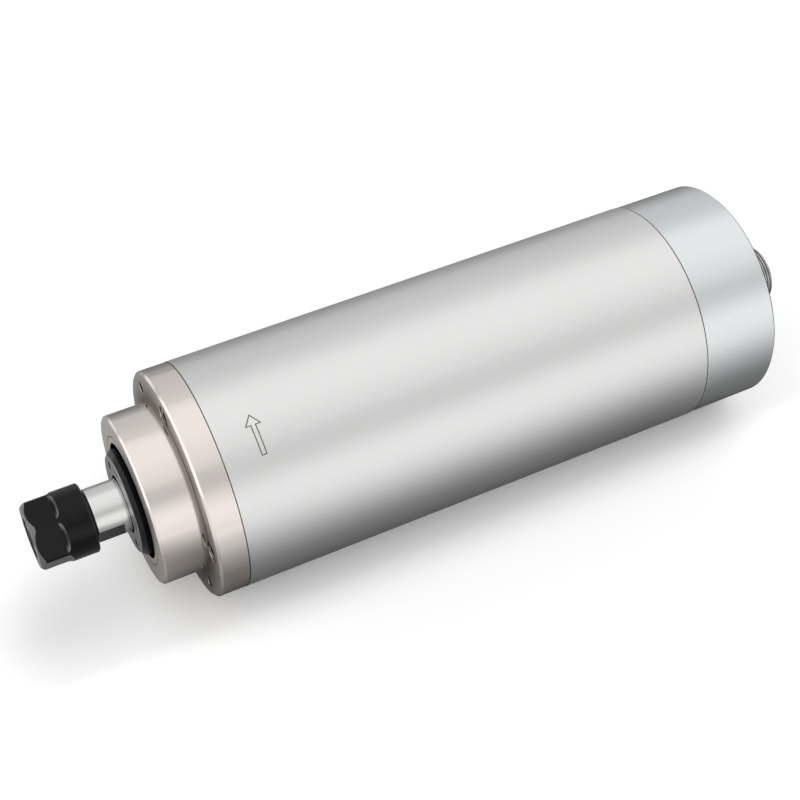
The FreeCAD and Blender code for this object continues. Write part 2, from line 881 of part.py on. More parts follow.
def nut_flat_cut(angle):
    """One spanner flat, which runs out to the rear in a round hollow."""
    floor_r = nut_flats / 2
    start_x = nut_front_x - 1
    end_x = nut_front_x + nut_flat_length
    runout = nut_flat_runout_r
    top_r = nut_outer_r + 2
    bend = math.sqrt(0.5)
    corners = [Vector(start_x, floor_r, 0), Vector(end_x - runout, floor_r, 0),
               Vector(end_x - runout + runout * bend, floor_r + runout * (1 - bend), 0),
               Vector(end_x, floor_r + runout, 0), Vector(end_x, top_r, 0),
               Vector(start_x, top_r, 0)]
    edges = [Part.LineSegment(corners[0], corners[1]).toShape(),
             Part.Arc(corners[1], corners[2], corners[3]).toShape(),
             Part.LineSegment(corners[3], corners[4]).toShape(),
             Part.LineSegment(corners[4], corners[5]).toShape(),
             Part.LineSegment(corners[5], corners[0]).toShape()]
    cutter = Part.Face(Part.Wire(edges)).extrude(Vector(0, 0, 2 * nut_outer_r))
    cutter.translate(Vector(0, 0, -nut_outer_r))
    cutter.rotate(CENTRE, AXIS, angle)
    return cutter


def build():
    os.makedirs("parts", exist_ok=True)
    inlet, outlet = water_ports()
    write("barrel", barrel())
    write("front_flange", front_flange())
    write("flange_screws", flange_screws())
    write("front_bearing_retainer", front_bearing_retainer())
    write("front_outer_rings", front_outer_rings())
    write("cooling_jacket", cooling_jacket())
    write("jacket_gaskets", jacket_gaskets())
    write("stator_core", stator_core())
    write("stator_windings", stator_windings())
    write("rear_bearing_plate", rear_bearing_plate())
    write("rear_outer_ring", rear_outer_ring())
    write("preload_washer", preload_washer())
    write("rear_cap", rear_cap())
    write("rear_cap_screws", rear_cap_screws())
    write("power_socket_shell", power_socket_shell())
    write("power_socket_insert", power_socket_insert())
    write("power_socket_pins", power_socket_pins())
    write("motor_lead", motor_lead())
    write("water_inlet", water_fitting(inlet))
    write("water_outlet", water_fitting(outlet))
    write("spindle_shaft", spindle_shaft())
    write("dust_ring", dust_ring())
    write("front_inner_rings", front_inner_rings())
    write("rear_inner_ring", rear_inner_ring())
    write("rotor_core", rotor_core())
    write("rotor_end_rings", rotor_end_rings())
    write("rear_lock_nut", rear_lock_nut())
    write("front_balls", front_balls())
    write("front_cages", front_cages())
    write("rear_balls", rear_balls())
    write("rear_cage", rear_cage())
    write("collet", collet())
    write("collet_nut", collet_nut())


build()
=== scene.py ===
import bpy
import json
import math
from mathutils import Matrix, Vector


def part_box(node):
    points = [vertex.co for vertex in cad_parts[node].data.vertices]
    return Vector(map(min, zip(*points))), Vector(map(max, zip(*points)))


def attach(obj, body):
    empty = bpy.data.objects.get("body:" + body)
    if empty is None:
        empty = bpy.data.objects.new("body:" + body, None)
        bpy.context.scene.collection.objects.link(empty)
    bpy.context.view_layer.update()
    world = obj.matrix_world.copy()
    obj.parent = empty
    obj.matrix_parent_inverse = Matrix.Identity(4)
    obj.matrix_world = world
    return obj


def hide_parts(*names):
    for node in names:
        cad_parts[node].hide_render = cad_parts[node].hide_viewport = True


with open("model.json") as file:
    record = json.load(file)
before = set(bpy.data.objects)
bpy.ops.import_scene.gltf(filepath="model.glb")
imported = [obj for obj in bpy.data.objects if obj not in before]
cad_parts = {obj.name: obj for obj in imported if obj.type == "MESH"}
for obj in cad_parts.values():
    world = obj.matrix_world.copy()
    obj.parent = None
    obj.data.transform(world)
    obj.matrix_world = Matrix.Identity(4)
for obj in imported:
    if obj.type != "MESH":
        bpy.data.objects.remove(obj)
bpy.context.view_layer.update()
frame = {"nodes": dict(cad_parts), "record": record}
mm = 0.001
print("frame loaded:", len(frame["nodes"]), "nodes")

# The photograph's camera, worked out from the round edges of the spindle
photoCamera = {
    "azimuth": -26.31,
    "elevation": 47.72,
    "place": (-183.29 * mm, -343.09 * mm, 422.32 * mm),
    "focalPixels": 1633.0,
    "imagePixels": 800.0,
    "sensorWidth": 36.0,
}


def makeCamera():
    turn = math.radians(photoCamera["azimuth"])
    tilt = math.radians(photoCamera["elevation"])
    back = Vector((math.sin(turn) * math.cos(tilt), -math.cos(turn) * math.cos(tilt), math.sin(tilt)))
    bpy.ops.object.camera_add(location=photoCamera["place"])
    camera = bpy.context.object
    camera.name = "photoCamera"
    camera.rotation_mode = "QUATERNION"
    camera.rotation_quaternion = (-back).to_track_quat("-Z", "Y")
    camera.data.sensor_width = photoCamera["sensorWidth"]
    camera.data.lens = photoCamera["focalPixels"] / photoCamera["imagePixels"] * photoCamera["sensorWidth"]
    camera.data.clip_start = 0.01
    bpy.context.scene.camera = camera


makeCamera()
print("camera placed")


# Modelling by hand: every piece is started, shaped and finished with the same few moves

def startPiece():
    if bpy.context.object and bpy.context.object.mode != "OBJECT":
        bpy.ops.object.mode_set(mode="OBJECT")
    bpy.ops.object.select_all(action="DESELECT")


def holdOnly(piece):
    startPiece()
    piece.select_set(True)
    bpy.context.view_layer.objects.active = piece


def applyPlace(piece):
    holdOnly(piece)
    bpy.ops.object.transform_apply(location=True, rotation=True, scale=True)


def editAll(piece):
    holdOnly(piece)
    bpy.ops.object.mode_set(mode="EDIT")
    bpy.ops.mesh.select_all(action="SELECT")


def smooth(piece, angle=35):
    # Rounded edges shade softly while the large faces beside them stay flat
    holdOnly(piece)
    bpy.ops.object.shade_smooth_by_angle(angle=math.radians(angle))
    even = piece.modifiers.new("even", "WEIGHTED_NORMAL")
    even.keep_sharp = True
    bpy.ops.object.modifier_apply(modifier=even.name)


def lathe(name, outline, segments=192, centre=(0, 0), closed=True, rounding=0.0, roundingSteps=2):
    # A rim of the first radius is pulled along the outline of (x, radius) steps, as on a lathe
    startPiece()
    startX, startR = outline[0]
    bpy.ops.mesh.primitive_circle_add(
        vertices=segments, radius=startR, fill_type="NOTHING",
        location=(startX, centre[0], centre[1]), rotation=(0, math.pi / 2, 0))
    piece = bpy.context.object
    piece.name = name
    applyPlace(piece)
    editAll(piece)
    steps = list(outline) + ([outline[0]] if closed else [])
    for (fromX, fromR), (toX, toR) in zip(steps, steps[1:]):
        bpy.ops.mesh.extrude_region_move(TRANSFORM_OT_translate={"value": (toX - fromX, 0, 0)})
        if toR > 0:
            grow = toR / fromR
            bpy.ops.transform.resize(value=(1, grow, grow), center_override=(toX, centre[0], centre[1]))
        else:
            bpy.ops.mesh.merge(type="CENTER")
    bpy.ops.mesh.select_all(action="SELECT")
    bpy.ops.mesh.remove_doubles(threshold=1e-6)
    bpy.ops.mesh.normals_make_consistent(inside=False)
    if rounding > 0:
        bpy.ops.mesh.select_mode(type="EDGE")
        bpy.ops.mesh.select_all(action="DESELECT")
        bpy.ops.mesh.edges_select_sharp(sharpness=math.radians(30))
        bpy.ops.mesh.bevel(offset=rounding, segments=roundingSteps, affect="EDGES", clamp_overlap=True)
    bpy.ops.object.mode_set(mode="OBJECT")
    return piece


def pin(name, fromX, toX, radius, centre, segments=48):
    startPiece()
    bpy.ops.mesh.primitive_cylinder_add(
        vertices=segments, radius=radius, depth=toX - fromX,
        location=((fromX + toX) / 2, centre[0], centre[1]), rotation=(0, math.pi / 2, 0))
    piece = bpy.context.object
    piece.name = name
    applyPlace(piece)
    return piece


def carve(piece, cutters, solver="EXACT"):
    # Each cutter takes its own shape out of the piece and goes away
    for cutter in cutters:
        holdOnly(piece)
        cut = piece.modifiers.new("cut", "BOOLEAN")
        cut.operation = "DIFFERENCE"
        cut.solver = solver
        cut.object = cutter
        bpy.ops.object.modifier_apply(modifier=cut.name)
        bpy.data.objects.remove(cutter, do_unlink=True)


def gather(name, pieces):
    holdOnly(pieces[0])
    for piece in pieces:
        piece.select_set(True)
    if len(pieces) > 1:
        bpy.ops.object.join()
    whole = bpy.context.object
    whole.name = name
    return whole


def softenEdges(piece, width, angle=30, steps=2):
    holdOnly(piece)
    bevel = piece.modifiers.new("soften", "BEVEL")
    bevel.width = width
    bevel.segments = steps
    bevel.limit_method = "ANGLE"
    bevel.angle_limit = math.radians(angle)
    bevel.harden_normals = False
    bpy.ops.object.modifier_apply(modifier=bevel.name)


def polar(radius, angle):
    # Place across the axis: the angle is counted from +Y towards +Z
    return (radius * math.cos(math.radians(angle)), radius * math.sin(math.radians(angle)))


def place(piece, body, slot, *nodes):
    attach(piece, body)
    if nodes:
        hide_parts(*nodes)


# Materials: two shared node groups, then one material for each finish

def socketGroup(name, inputs, outputs):
    group = bpy.data.node_groups.new(name, "ShaderNodeTree")
    for label, value in inputs:
        entry = group.interface.new_socket(name=label, in_out="INPUT", socket_type="NodeSocketFloat")
        entry.default_value = value
    for label in outputs:
        group.interface.new_socket(name=label, in_out="OUTPUT", socket_type="NodeSocketFloat")
    return group, group.nodes.new("NodeGroupInput"), group.nodes.new("NodeGroupOutput")


def mathNode(tree, operation, first, second=None):
    node = tree.nodes.new("ShaderNodeMath")
    node.operation = operation
    for index, value in enumerate((first, second)):
        if value is None:
            continue
        if isinstance(value, (int, float)):
            node.inputs[index].default_value = value
        else:
            tree.links.new(value, node.inputs[index])
    return node.outputs[0]


def makeTurningMarks():
    # Fine rings left by the tool: they change along the axis and the radius, hardly round the axis
    group, entry, leave = socketGroup(
        "turningMarks", [("Fineness", 4000.0), ("Drift", 3.0)], ["Marks"])
    coords = group.nodes.new("ShaderNodeTexCoord")
    split = group.nodes.new("ShaderNodeSeparateXYZ")
    group.links.new(coords.outputs["Object"], split.inputs[0])
    squareY = mathNode(group, "MULTIPLY", split.outputs["Y"], split.outputs["Y"])
    squareZ = mathNode(group, "MULTIPLY", split.outputs["Z"], split.outputs["Z"])
    radius = mathNode(group, "SQRT", mathNode(group, "ADD", squareY, squareZ))
    turn = mathNode(group, "ARCTAN2", split.outputs["Z"], split.outputs["Y"])
    pack = group.nodes.new("ShaderNodeCombineXYZ")
    group.links.new(mathNode(group, "MULTIPLY", split.outputs["X"], entry.outputs["Fineness"]), pack.inputs[0])
    group.links.new(mathNode(group, "MULTIPLY", radius, entry.outputs["Fineness"]), pack.inputs[1])
    group.links.new(mathNode(group, "MULTIPLY", mathNode(group, "COSINE", turn), entry.outputs["Drift"]), pack.inputs[2])
    noise = group.nodes.new("ShaderNodeTexNoise")
    noise.inputs["Scale"].default_value = 1.0
    noise.inputs["Detail"].default_value = 3.0
    noise.inputs["Roughness"].default_value = 0.6
    group.links.new(pack.outputs[0], noise.inputs["Vector"])
    group.links.new(noise.outputs[0], leave.inputs["Marks"])
    return group


def makeHandling():
    # Large soft patches where oil and hands change the gloss, with a finer grain over them
    group, entry, leave = socketGroup(
        "handling", [("Patch Scale", 14.0), ("Grain Scale", 900.0), ("Grain Share", 0.35)], ["Patches"])
    coords = group.nodes.new("ShaderNodeTexCoord")
    patch = group.nodes.new("ShaderNodeTexNoise")
    patch.inputs["Detail"].default_value = 4.0
    grain = group.nodes.new("ShaderNodeTexNoise")
    grain.inputs["Detail"].default_value = 2.0
    group.links.new(coords.outputs["Object"], patch.inputs["Vector"])
    group.links.new(coords.outputs["Object"], grain.inputs["Vector"])
    group.links.new(entry.outputs["Patch Scale"], patch.inputs["Scale"])
    group.links.new(entry.outputs["Grain Scale"], grain.inputs["Scale"])
    blend = group.nodes.new("ShaderNodeMix")
    group.links.new(entry.outputs["Grain Share"], blend.inputs[0])
    group.links.new(patch.outputs[0], blend.inputs[2])
    group.links.new(grain.outputs[0], blend.inputs[3])
    group.links.new(blend.outputs[0], leave.inputs["Patches"])
    return group


turningMarks = makeTurningMarks()
handling = makeHandling()

# What a user would change in each finish; the bands are dark joint lines, painted shade in the valley at the boss foot,
# in the nut's flat hollows and in the shaft's groove, and a painted dark reflection on the cap's rear chamfer
seamColour = (0.055, 0.05, 0.047)
finishes = {
    "stainless_barrel": {"light": (0.82, 0.815, 0.81), "dark": (0.76, 0.755, 0.75), "metal": 1.0,
                         "rough": (0.3, 0.36), "fineness": 2600.0, "bump": 0.05, "depth": 0.00003,
                         "bands": [{"along": (-88 * mm, -86.98 * mm), "away": (39 * mm, 41 * mm), "colour": seamColour},
                                   {"along": (86.8 * mm, 88 * mm), "away": (39 * mm, 41 * mm), "colour": seamColour}]},
    "nickel_flange": {"light": (0.85, 0.785, 0.735), "dark": (0.79, 0.725, 0.675), "metal": 1.0,
                      "rough": (0.08, 0.13), "fineness": 5200.0, "bump": 0.06, "depth": 0.00002,
                      "bands": [{"along": (-112.7 * mm, -112.2 * mm), "away": (22.5 * mm, 22.84 * mm),
                                 "colour": seamColour}]},
    "faced_nickel": {"light": (0.66, 0.625, 0.59), "dark": (0.58, 0.545, 0.515), "metal": 1.0,
                     "rough": (0.38, 0.46), "fineness": 4200.0, "bump": 0.05, "depth": 0.00002,
                     "bands": [{"along": (-112.7 * mm, -112.2 * mm), "away": (22.5 * mm, 22.84 * mm),
                                "colour": seamColour}]},
    # A darker copy of the faced nickel, dimmer where seen edge-on, with a band darkest at the boss foot: painted shade
    # in the valley between boss and flange
    "shaded_nickel_valley": {"light": (0.66, 0.625, 0.59), "dark": (0.58, 0.545, 0.515), "metal": 1.0, "grazing": 0.55,
                      "rough": (0.38, 0.46), "fineness": 4200.0, "bump": 0.05, "depth": 0.00002,
                      "bands": [{"along": (-98 * mm, -97.2 * mm), "away": (29.0 * mm, 37.6 * mm), "full": 30.5 * mm,
                                 "colour": (0.27, 0.245, 0.225)}]},
    "cap_aluminium": {"light": (0.79, 0.815, 0.82), "dark": (0.73, 0.755, 0.765), "metal": 1.0,
                      "rough": (0.2, 0.28), "fineness": 4200.0, "bump": 0.04, "depth": 0.00002,
                      # Its band is a painted dark reflection on the rear chamfer
                      "bands": [{"along": (115.05 * mm, 116 * mm), "away": (38.98 * mm, 41 * mm),
                                 "colour": (0.2, 0.2, 0.2)}]},
    "black_steel": {"light": (0.003, 0.003, 0.0036), "dark": (0.001, 0.001, 0.0014), "metal": 0.0, "shine": 0.22,
                    "rough": (0.15, 0.22), "fineness": 3000.0, "bump": 0.03, "depth": 0.00002},
    # A brighter black for the nut's edges, partly wear and partly painted highlight, and for the hollow ends of the
    # flats as a painted highlight; its band darkens them inwards, towards the flats, as painted shade
    "worn_black_sheen": {"light": (0.17, 0.17, 0.175), "dark": (0.13, 0.13, 0.135), "metal": 0.85, "shine": 0.4,
                   "rough": (0.2, 0.28), "fineness": 3000.0, "bump": 0.03, "depth": 0.00002,
                   "bands": [{"along": (-145.8 * mm, -127 * mm), "away": (0, 11.75 * mm), "full": 11.1 * mm,
                              "colour": (0.012, 0.012, 0.013)}]},
    # Bright metal for the dust ring's front chamfer: a painted highlight
    "edge_highlight": {"light": (0.5, 0.5, 0.5), "dark": (0.42, 0.42, 0.42), "metal": 1.0,
                  "rough": (0.2, 0.28), "fineness": 3000.0, "bump": 0.03, "depth": 0.00002},
    # A lighter black for the front faces of the dust ring and the collet nut: a painted reflection
    "front_face_sheen": {"light": (0.18, 0.18, 0.185), "dark": (0.15, 0.15, 0.155), "metal": 0.8, "shine": 0.5,
                     "rough": (0.2, 0.28), "fineness": 3000.0, "bump": 0.03, "depth": 0.00002},
    # Matt black put where there is shade: inside the boss mouth, on the dust ring's sides and round its pin holes
    # (painted shade)
    "shade_matt_black": {"light": (0.0015, 0.0015, 0.0017), "dark": (0.001, 0.001, 0.0012), "metal": 0.0, "shine": 0.07,
                   "rough": (0.3, 0.4), "fineness": 3000.0, "bump": 0.04, "depth": 0.00003},
    "ground_steel": {"light": (0.8, 0.795, 0.785), "dark": (0.7, 0.695, 0.69), "metal": 1.0,
                     "rough": (0.1, 0.2), "fineness": 6000.0, "bump": 0.08, "depth": 0.00002,
                     # Its band is painted shade in the groove behind the collet nut
                     "bands": [{"along": (-128.2 * mm, -126.88 * mm), "away": (8 * mm, 9.3 * mm),
                                "colour": (0.02, 0.02, 0.02)}]},
    # A dark tone for the shaft's milled flats: a painted dark reflection
    "milled_flat_dark_reflection": {"light": (0.15, 0.146, 0.142), "dark": (0.1, 0.097, 0.094), "metal": 1.0,
                    "rough": (0.22, 0.3), "fineness": 3000.0, "bump": 0.05, "depth": 0.00002},
    "bearing_steel": {"light": (0.75, 0.75, 0.75), "dark": (0.66, 0.66, 0.66), "metal": 1.0,
                      "rough": (0.1, 0.18), "fineness": 7000.0, "bump": 0.04, "depth": 0.00002},
    "nickel_brass": {"light": (0.8, 0.79, 0.775), "dark": (0.7, 0.69, 0.675), "metal": 1.0,
                     "rough": (0.08, 0.18), "fineness": 6000.0, "bump": 0.04, "depth": 0.00002},
    # Darker metal for the thread valleys of the socket and the flange's tapped holes: painted shade
    "shaded_thread_valley": {"light": (0.34, 0.335, 0.33), "dark": (0.26, 0.255, 0.25), "metal": 1.0,
                      "rough": (0.15, 0.25), "fineness": 6000.0, "bump": 0.04, "depth": 0.00002},
    "contact_gold": {"light": (0.9, 0.72, 0.38), "dark": (0.8, 0.6, 0.3), "metal": 1.0,
                     "rough": (0.12, 0.22), "fineness": 6000.0, "bump": 0.04, "depth": 0.00002},
    "insert_plastic": {"light": (0.035, 0.035, 0.037), "dark": (0.02, 0.02, 0.021), "metal": 0.0,
                       "rough": (0.42, 0.58), "fineness": 900.0, "bump": 0.1, "depth": 0.00004},
    "cage_plastic": {"light": (0.4, 0.26, 0.12), "dark": (0.3, 0.18, 0.08), "metal": 0.0,
                     "rough": (0.5, 0.65), "fineness": 900.0, "bump": 0.2, "depth": 0.00005},
    "jacket_aluminium": {"light": (0.76, 0.77, 0.78), "dark": (0.68, 0.69, 0.7), "metal": 1.0,
                         "rough": (0.28, 0.4), "fineness": 2200.0, "bump": 0.15, "depth": 0.00004},
    "gasket_rubber": {"light": (0.03, 0.03, 0.03), "dark": (0.015, 0.015, 0.015), "metal": 0.0,
                      "rough": (0.6, 0.75), "fineness": 900.0, "bump": 0.15, "depth": 0.00005},
    "lamination_steel": {"light": (0.34, 0.34, 0.35), "dark": (0.2, 0.2, 0.21), "metal": 0.8,
                         "rough": (0.4, 0.55), "fineness": 1800.0, "bump": 0.4, "depth": 0.00006},
    "copper_wire": {"light": (0.78, 0.4, 0.2), "dark": (0.55, 0.24, 0.1), "metal": 0.9,
                    "rough": (0.25, 0.4), "fineness": 1400.0, "bump": 0.5, "depth": 0.0001, "coat": 0.3},
    "lead_sheath": {"light": (0.55, 0.09, 0.05), "dark": (0.45, 0.06, 0.035), "metal": 0.0,
                    "rough": (0.4, 0.55), "fineness": 900.0, "bump": 0.1, "depth": 0.00004},
}


def shadeBand(tree, band, colour):
    # Darkens one ring: within a span along the axis, and over a span of radius, hard or fading outwards
    coords = tree.nodes.new("ShaderNodeTexCoord")
    split = tree.nodes.new("ShaderNodeSeparateXYZ")
    tree.links.new(coords.outputs["Object"], split.inputs[0])
    squareY = mathNode(tree, "MULTIPLY", split.outputs["Y"], split.outputs["Y"])
    squareZ = mathNode(tree, "MULTIPLY", split.outputs["Z"], split.outputs["Z"])
    radius = mathNode(tree, "SQRT", mathNode(tree, "ADD", squareY, squareZ))
    fromX, toX = band["along"]
    inner, outer = band["away"]
    mask = mathNode(tree, "MULTIPLY", mathNode(tree, "GREATER_THAN", split.outputs["X"], fromX),
                    mathNode(tree, "LESS_THAN", split.outputs["X"], toX))
    mask = mathNode(tree, "MULTIPLY", mask, mathNode(tree, "GREATER_THAN", radius, inner))
    fade = tree.nodes.new("ShaderNodeMapRange")
    fade.inputs["From Min"].default_value = outer
    fade.inputs["From Max"].default_value = band.get("full", outer - 0.02 * mm)
    tree.links.new(radius, fade.inputs["Value"])
    shade = tree.nodes.new("ShaderNodeMix")
    shade.data_type = "RGBA"
    tree.links.new(mathNode(tree, "MULTIPLY", mask, fade.outputs[0]), shade.inputs[0])
    tree.links.new(colour, shade.inputs[6])
    shade.inputs[7].default_value = (*band["colour"], 1)
    return shade.outputs[2]


def finishMaterial(name):
    look = finishes[name]
    material = bpy.data.materials.new(name)
    material.use_nodes = True
    tree = material.node_tree
    shader = tree.nodes["Principled BSDF"]
    shader.inputs["Metallic"].default_value = look["metal"]
    shader.inputs["Coat Weight"].default_value = look.get("coat", 0.0)
    shader.inputs["Specular IOR Level"].default_value = look.get("shine", 0.5)
    grazing = look.get("grazing", 1.0)   # how bright a metal stays where it is seen almost edge-on
    shader.inputs["Specular Tint"].default_value = (grazing, grazing, grazing, 1)
    marks = tree.nodes.new("ShaderNodeGroup")
    marks.node_tree = turningMarks
    marks.inputs["Fineness"].default_value = look["fineness"]
    patches = tree.nodes.new("ShaderNodeGroup")
    patches.node_tree = handling
    colour = tree.nodes.new("ShaderNodeMix")
    colour.data_type = "RGBA"
    colour.inputs[6].default_value = (*look["dark"], 1)
    colour.inputs[7].default_value = (*look["light"], 1)
    tree.links.new(patches.outputs["Patches"], colour.inputs[0])
    tone = colour.outputs[2]
    for band in look.get("bands", []):
        tone = shadeBand(tree, band, tone)
    tree.links.new(tone, shader.inputs["Base Color"])
    gloss = tree.nodes.new("ShaderNodeMapRange")
    gloss.inputs["From Min"].default_value = 0.3
    gloss.inputs["From Max"].default_value = 0.7
    gloss.inputs["To Min"].default_value = look["rough"][0]
    gloss.inputs["To Max"].default_value = look["rough"][1]
    tree.links.new(patches.outputs["Patches"], gloss.inputs["Value"])
    tree.links.new(gloss.outputs[0], shader.inputs["Roughness"])
    bump = tree.nodes.new("ShaderNodeBump")
    bump.inputs["Strength"].default_value = look["bump"]
    bump.inputs["Distance"].default_value = look["depth"]
    tree.links.new(marks.outputs["Marks"], bump.inputs["Height"])
    tree.links.new(bump.outputs[0], shader.inputs["Normal"])
    return material


materials = {name: finishMaterial(name) for name in finishes}


def dress(piece, slot):
    piece.data.materials.clear()
    piece.data.materials.append(materials[slot])


def dressSome(piece, slot, chosen):
    # Only the faces for which chosen(middle, normal) holds get this finish
    piece.data.materials.append(materials[slot])
    index = len(piece.data.materials) - 1
    for face in piece.data.polygons:
        if chosen(face.center, face.normal):
            face.material_index = index


for row in frame["record"]["subparts"]:
    node = frame["nodes"][row["node"]]
    for index in range(len(node.material_slots)):
        node.material_slots[index].material = materials[row["material_slot"]]
print("materials made:", len(materials))


# Places along the axis, read from the frame
barrelLow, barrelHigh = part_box("barrel")
flangeLow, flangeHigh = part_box("front_flange")
capLow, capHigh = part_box("rear_cap")
ringLow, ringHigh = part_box("dust_ring")
nutLow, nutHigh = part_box("collet_nut")
shaftLow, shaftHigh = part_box("spindle_shaft")
floorHeight = barrelLow[2]
barrelRadius = (barrelHigh[1] - barrelLow[1]) / 2

barrelLook = {"wall": 4.0 * mm, "edge": 0.22 * mm}


def makeBarrel():
    inner = barrelRadius - barrelLook["wall"]
    outline = [(barrelLow[0], inner), (barrelLow[0], barrelRadius),
               (barrelHigh[0], barrelRadius), (barrelHigh[0], inner)]
    barrel = lathe("barrelShell", outline, 256, rounding=barrelLook["edge"])
    dress(barrel, "stainless_barrel")
    smooth(barrel)
    place(barrel, "housing", "stainless_barrel", "barrel")


makeBarrel()
print("barrel turned")

flangeLook = {
    "plate": 10.0 * mm, "bossRadius": 29.6 * mm, "bossEdge": 0.7 * mm, "foot": 0.5 * mm,
    "boreRadius": 21.0 * mm, "mouthRadius": 22.7 * mm, "mouthDepth": 2.0 * mm, "plateEdge": 0.8 * mm,
    "spigotRadius": 35.98 * mm, "shoulderRadius": 18.0 * mm, "shoulderDepth": 5.5 * mm,
    "screwCircle": 32.5 * mm, "screwAngle": 87.0, "counterbore": 3.7 * mm, "counterboreDepth": 4.4 * mm,
    "screwHole": 2.02 * mm, "tapCircle": 34.5 * mm, "tapAngle": 43.0, "tapRadius": 2.0 * mm,
    "tapDepth": 8.0 * mm, "holeEdge": 0.08 * mm, "segments": 256,
}


def drill(mouthX, endX, radius, spot, edge=0.0, segments=56):
    # A closed cutter that runs along +X or -X, with a broken edge at its mouth
    way = 1 if endX > mouthX else -1
    lead = 0.03 * mm
    outline = [(mouthX - way * lead, 0.05 * mm), (mouthX - way * lead, radius + edge), (mouthX + way * edge, radius),
               (endX, radius), (endX, 0.05 * mm)]
    return lathe("cutter", outline, segments, spot)


def makeFlange():
    look = flangeLook
    faceX = flangeLow[0]
    plateX = barrelLow[0] - look["plate"]
    radius = (flangeHigh[1] - flangeLow[1]) / 2
    foot = look["foot"]
    curve = []
    for step in range(5):
        turn = math.radians(90 * step / 4)
        curve.append((plateX - foot + foot * math.sin(turn), look["bossRadius"] + foot - foot * math.cos(turn)))
    outline = [(faceX, look["mouthRadius"]), (faceX, look["bossRadius"] - look["bossEdge"]),
               (faceX + look["bossEdge"], look["bossRadius"])] + curve
    outline += [(plateX, radius - look["plateEdge"]), (plateX + look["plateEdge"], radius),
                (barrelLow[0], radius), (barrelLow[0], look["spigotRadius"]),
                (flangeHigh[0], look["spigotRadius"]), (flangeHigh[0], look["shoulderRadius"]),
                (flangeHigh[0] - look["shoulderDepth"], look["shoulderRadius"]),
                (flangeHigh[0] - look["shoulderDepth"], look["boreRadius"]),
                (faceX + look["mouthDepth"], look["boreRadius"]),
                (faceX + look["mouthDepth"], look["mouthRadius"])]
    flange = lathe("noseFlange", outline, look["segments"], rounding=0.12 * mm)
    cutters = []
    for quarter in range(4):
        spot = polar(look["screwCircle"], look["screwAngle"] + 90 * quarter)
        cutters.append(drill(plateX, plateX + look["counterboreDepth"], look["counterbore"], spot, look["holeEdge"]))
        cutters.append(drill(plateX + look["counterboreDepth"], flangeHigh[0] + mm, look["screwHole"], spot))
    tapSpots = [polar(look["tapCircle"], look["tapAngle"] + 180 * half) for half in range(2)]
    for spot in tapSpots:
        cutters.append(drill(plateX, plateX + look["tapDepth"], look["tapRadius"], spot, look["holeEdge"]))
    carve(flange, cutters)
    dress(flange, "nickel_flange")
    dressSome(flange, "faced_nickel", lambda middle, normal: normal.x < -0.9 and middle.x < plateX - mm)
    # The flange's face round the boss and the boss foot get the shaded copy: painted shade in the valley
    dressSome(flange, "shaded_nickel_valley", lambda middle, normal: normal.x < -0.9 and abs(middle.x - plateX) < 0.05 * mm)
    dressSome(flange, "shaded_nickel_valley", lambda middle, normal: normal.x < -0.15 and abs(middle.x - plateX) < foot
              and math.hypot(middle.y, middle.z) < look["bossRadius"] + foot)
    # The tapped holes get the darker thread finish as painted shade
    dressSome(flange, "shaded_thread_valley", lambda middle, normal: middle.x > plateX + look["holeEdge"]
              and min(math.dist((middle.y, middle.z), spot) for spot in tapSpots) < look["tapRadius"] + 0.01 * mm)
    smooth(flange)
    place(flange, "housing", "nickel_flange", "front_flange")


makeFlange()
print("flange turned and drilled")

retainerLook = {"sleeve": 20.28 * mm, "rim": 22.68 * mm, "rimWidth": 2.0 * mm, "outer": 20.98 * mm, "inner": 17.6 * mm,
                "base": 2.5 * mm, "notchWidth": 4.0 * mm, "notchAngle": 87.0, "edge": 0.08 * mm}


def makeRetainer():
    # Its rim lies flush in the mouth of the boss; the base that presses on the bearings lies deep inside
    look = retainerLook
    low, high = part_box("front_bearing_retainer")
    rimX, endX = low[0], high[0]
    baseX = endX - look["base"]
    outline = [(rimX, look["sleeve"]), (rimX, look["rim"]), (rimX + look["rimWidth"], look["rim"]),
               (rimX + look["rimWidth"], look["outer"]), (endX, look["outer"]), (endX, look["inner"]),
               (baseX, look["inner"]), (baseX, look["sleeve"])]
    retainer = lathe("bearingRetainer", outline, 192, rounding=look["edge"])
    cutters = []
    for quarter in range(4):
        startPiece()
        bpy.ops.mesh.primitive_cube_add(size=1, location=(baseX, 18 * mm, 0),
                                        scale=(look["base"], 2.6 * mm, look["notchWidth"]))
        block = bpy.context.object
        applyPlace(block)
        block.rotation_euler = (math.radians(look["notchAngle"] + 90 * quarter), 0, 0)
        applyPlace(block)
        cutters.append(block)
    carve(retainer, cutters)
    dress(retainer, "nickel_flange")
    dressSome(retainer, "faced_nickel", lambda middle, normal: normal.x < -0.9 and middle.x < rimX + 0.05 * mm)
    # Its inner faces deep in the mouth of the boss are painted matt black as painted shade
    dressSome(retainer, "shade_matt_black", lambda middle, normal: middle.x > rimX + 0.3 * mm
              and math.hypot(middle.y, middle.z) < look["outer"] - 0.3 * mm)
    smooth(retainer)
    place(retainer, "housing", "nickel_flange", "front_bearing_retainer")


makeRetainer()
print("bearing retainer turned")

ringLook = {"edge": 1.7 * mm, "rounding": 0.22 * mm, "hub": 13.2 * mm, "bore": 10.02 * mm, "hubEnd": 3.0 * mm, "pinCircle": 13.7 * mm,
            "pinAngle": 45.0, "pinRadius": 1.3 * mm, "pinDepth": 3.5 * mm}


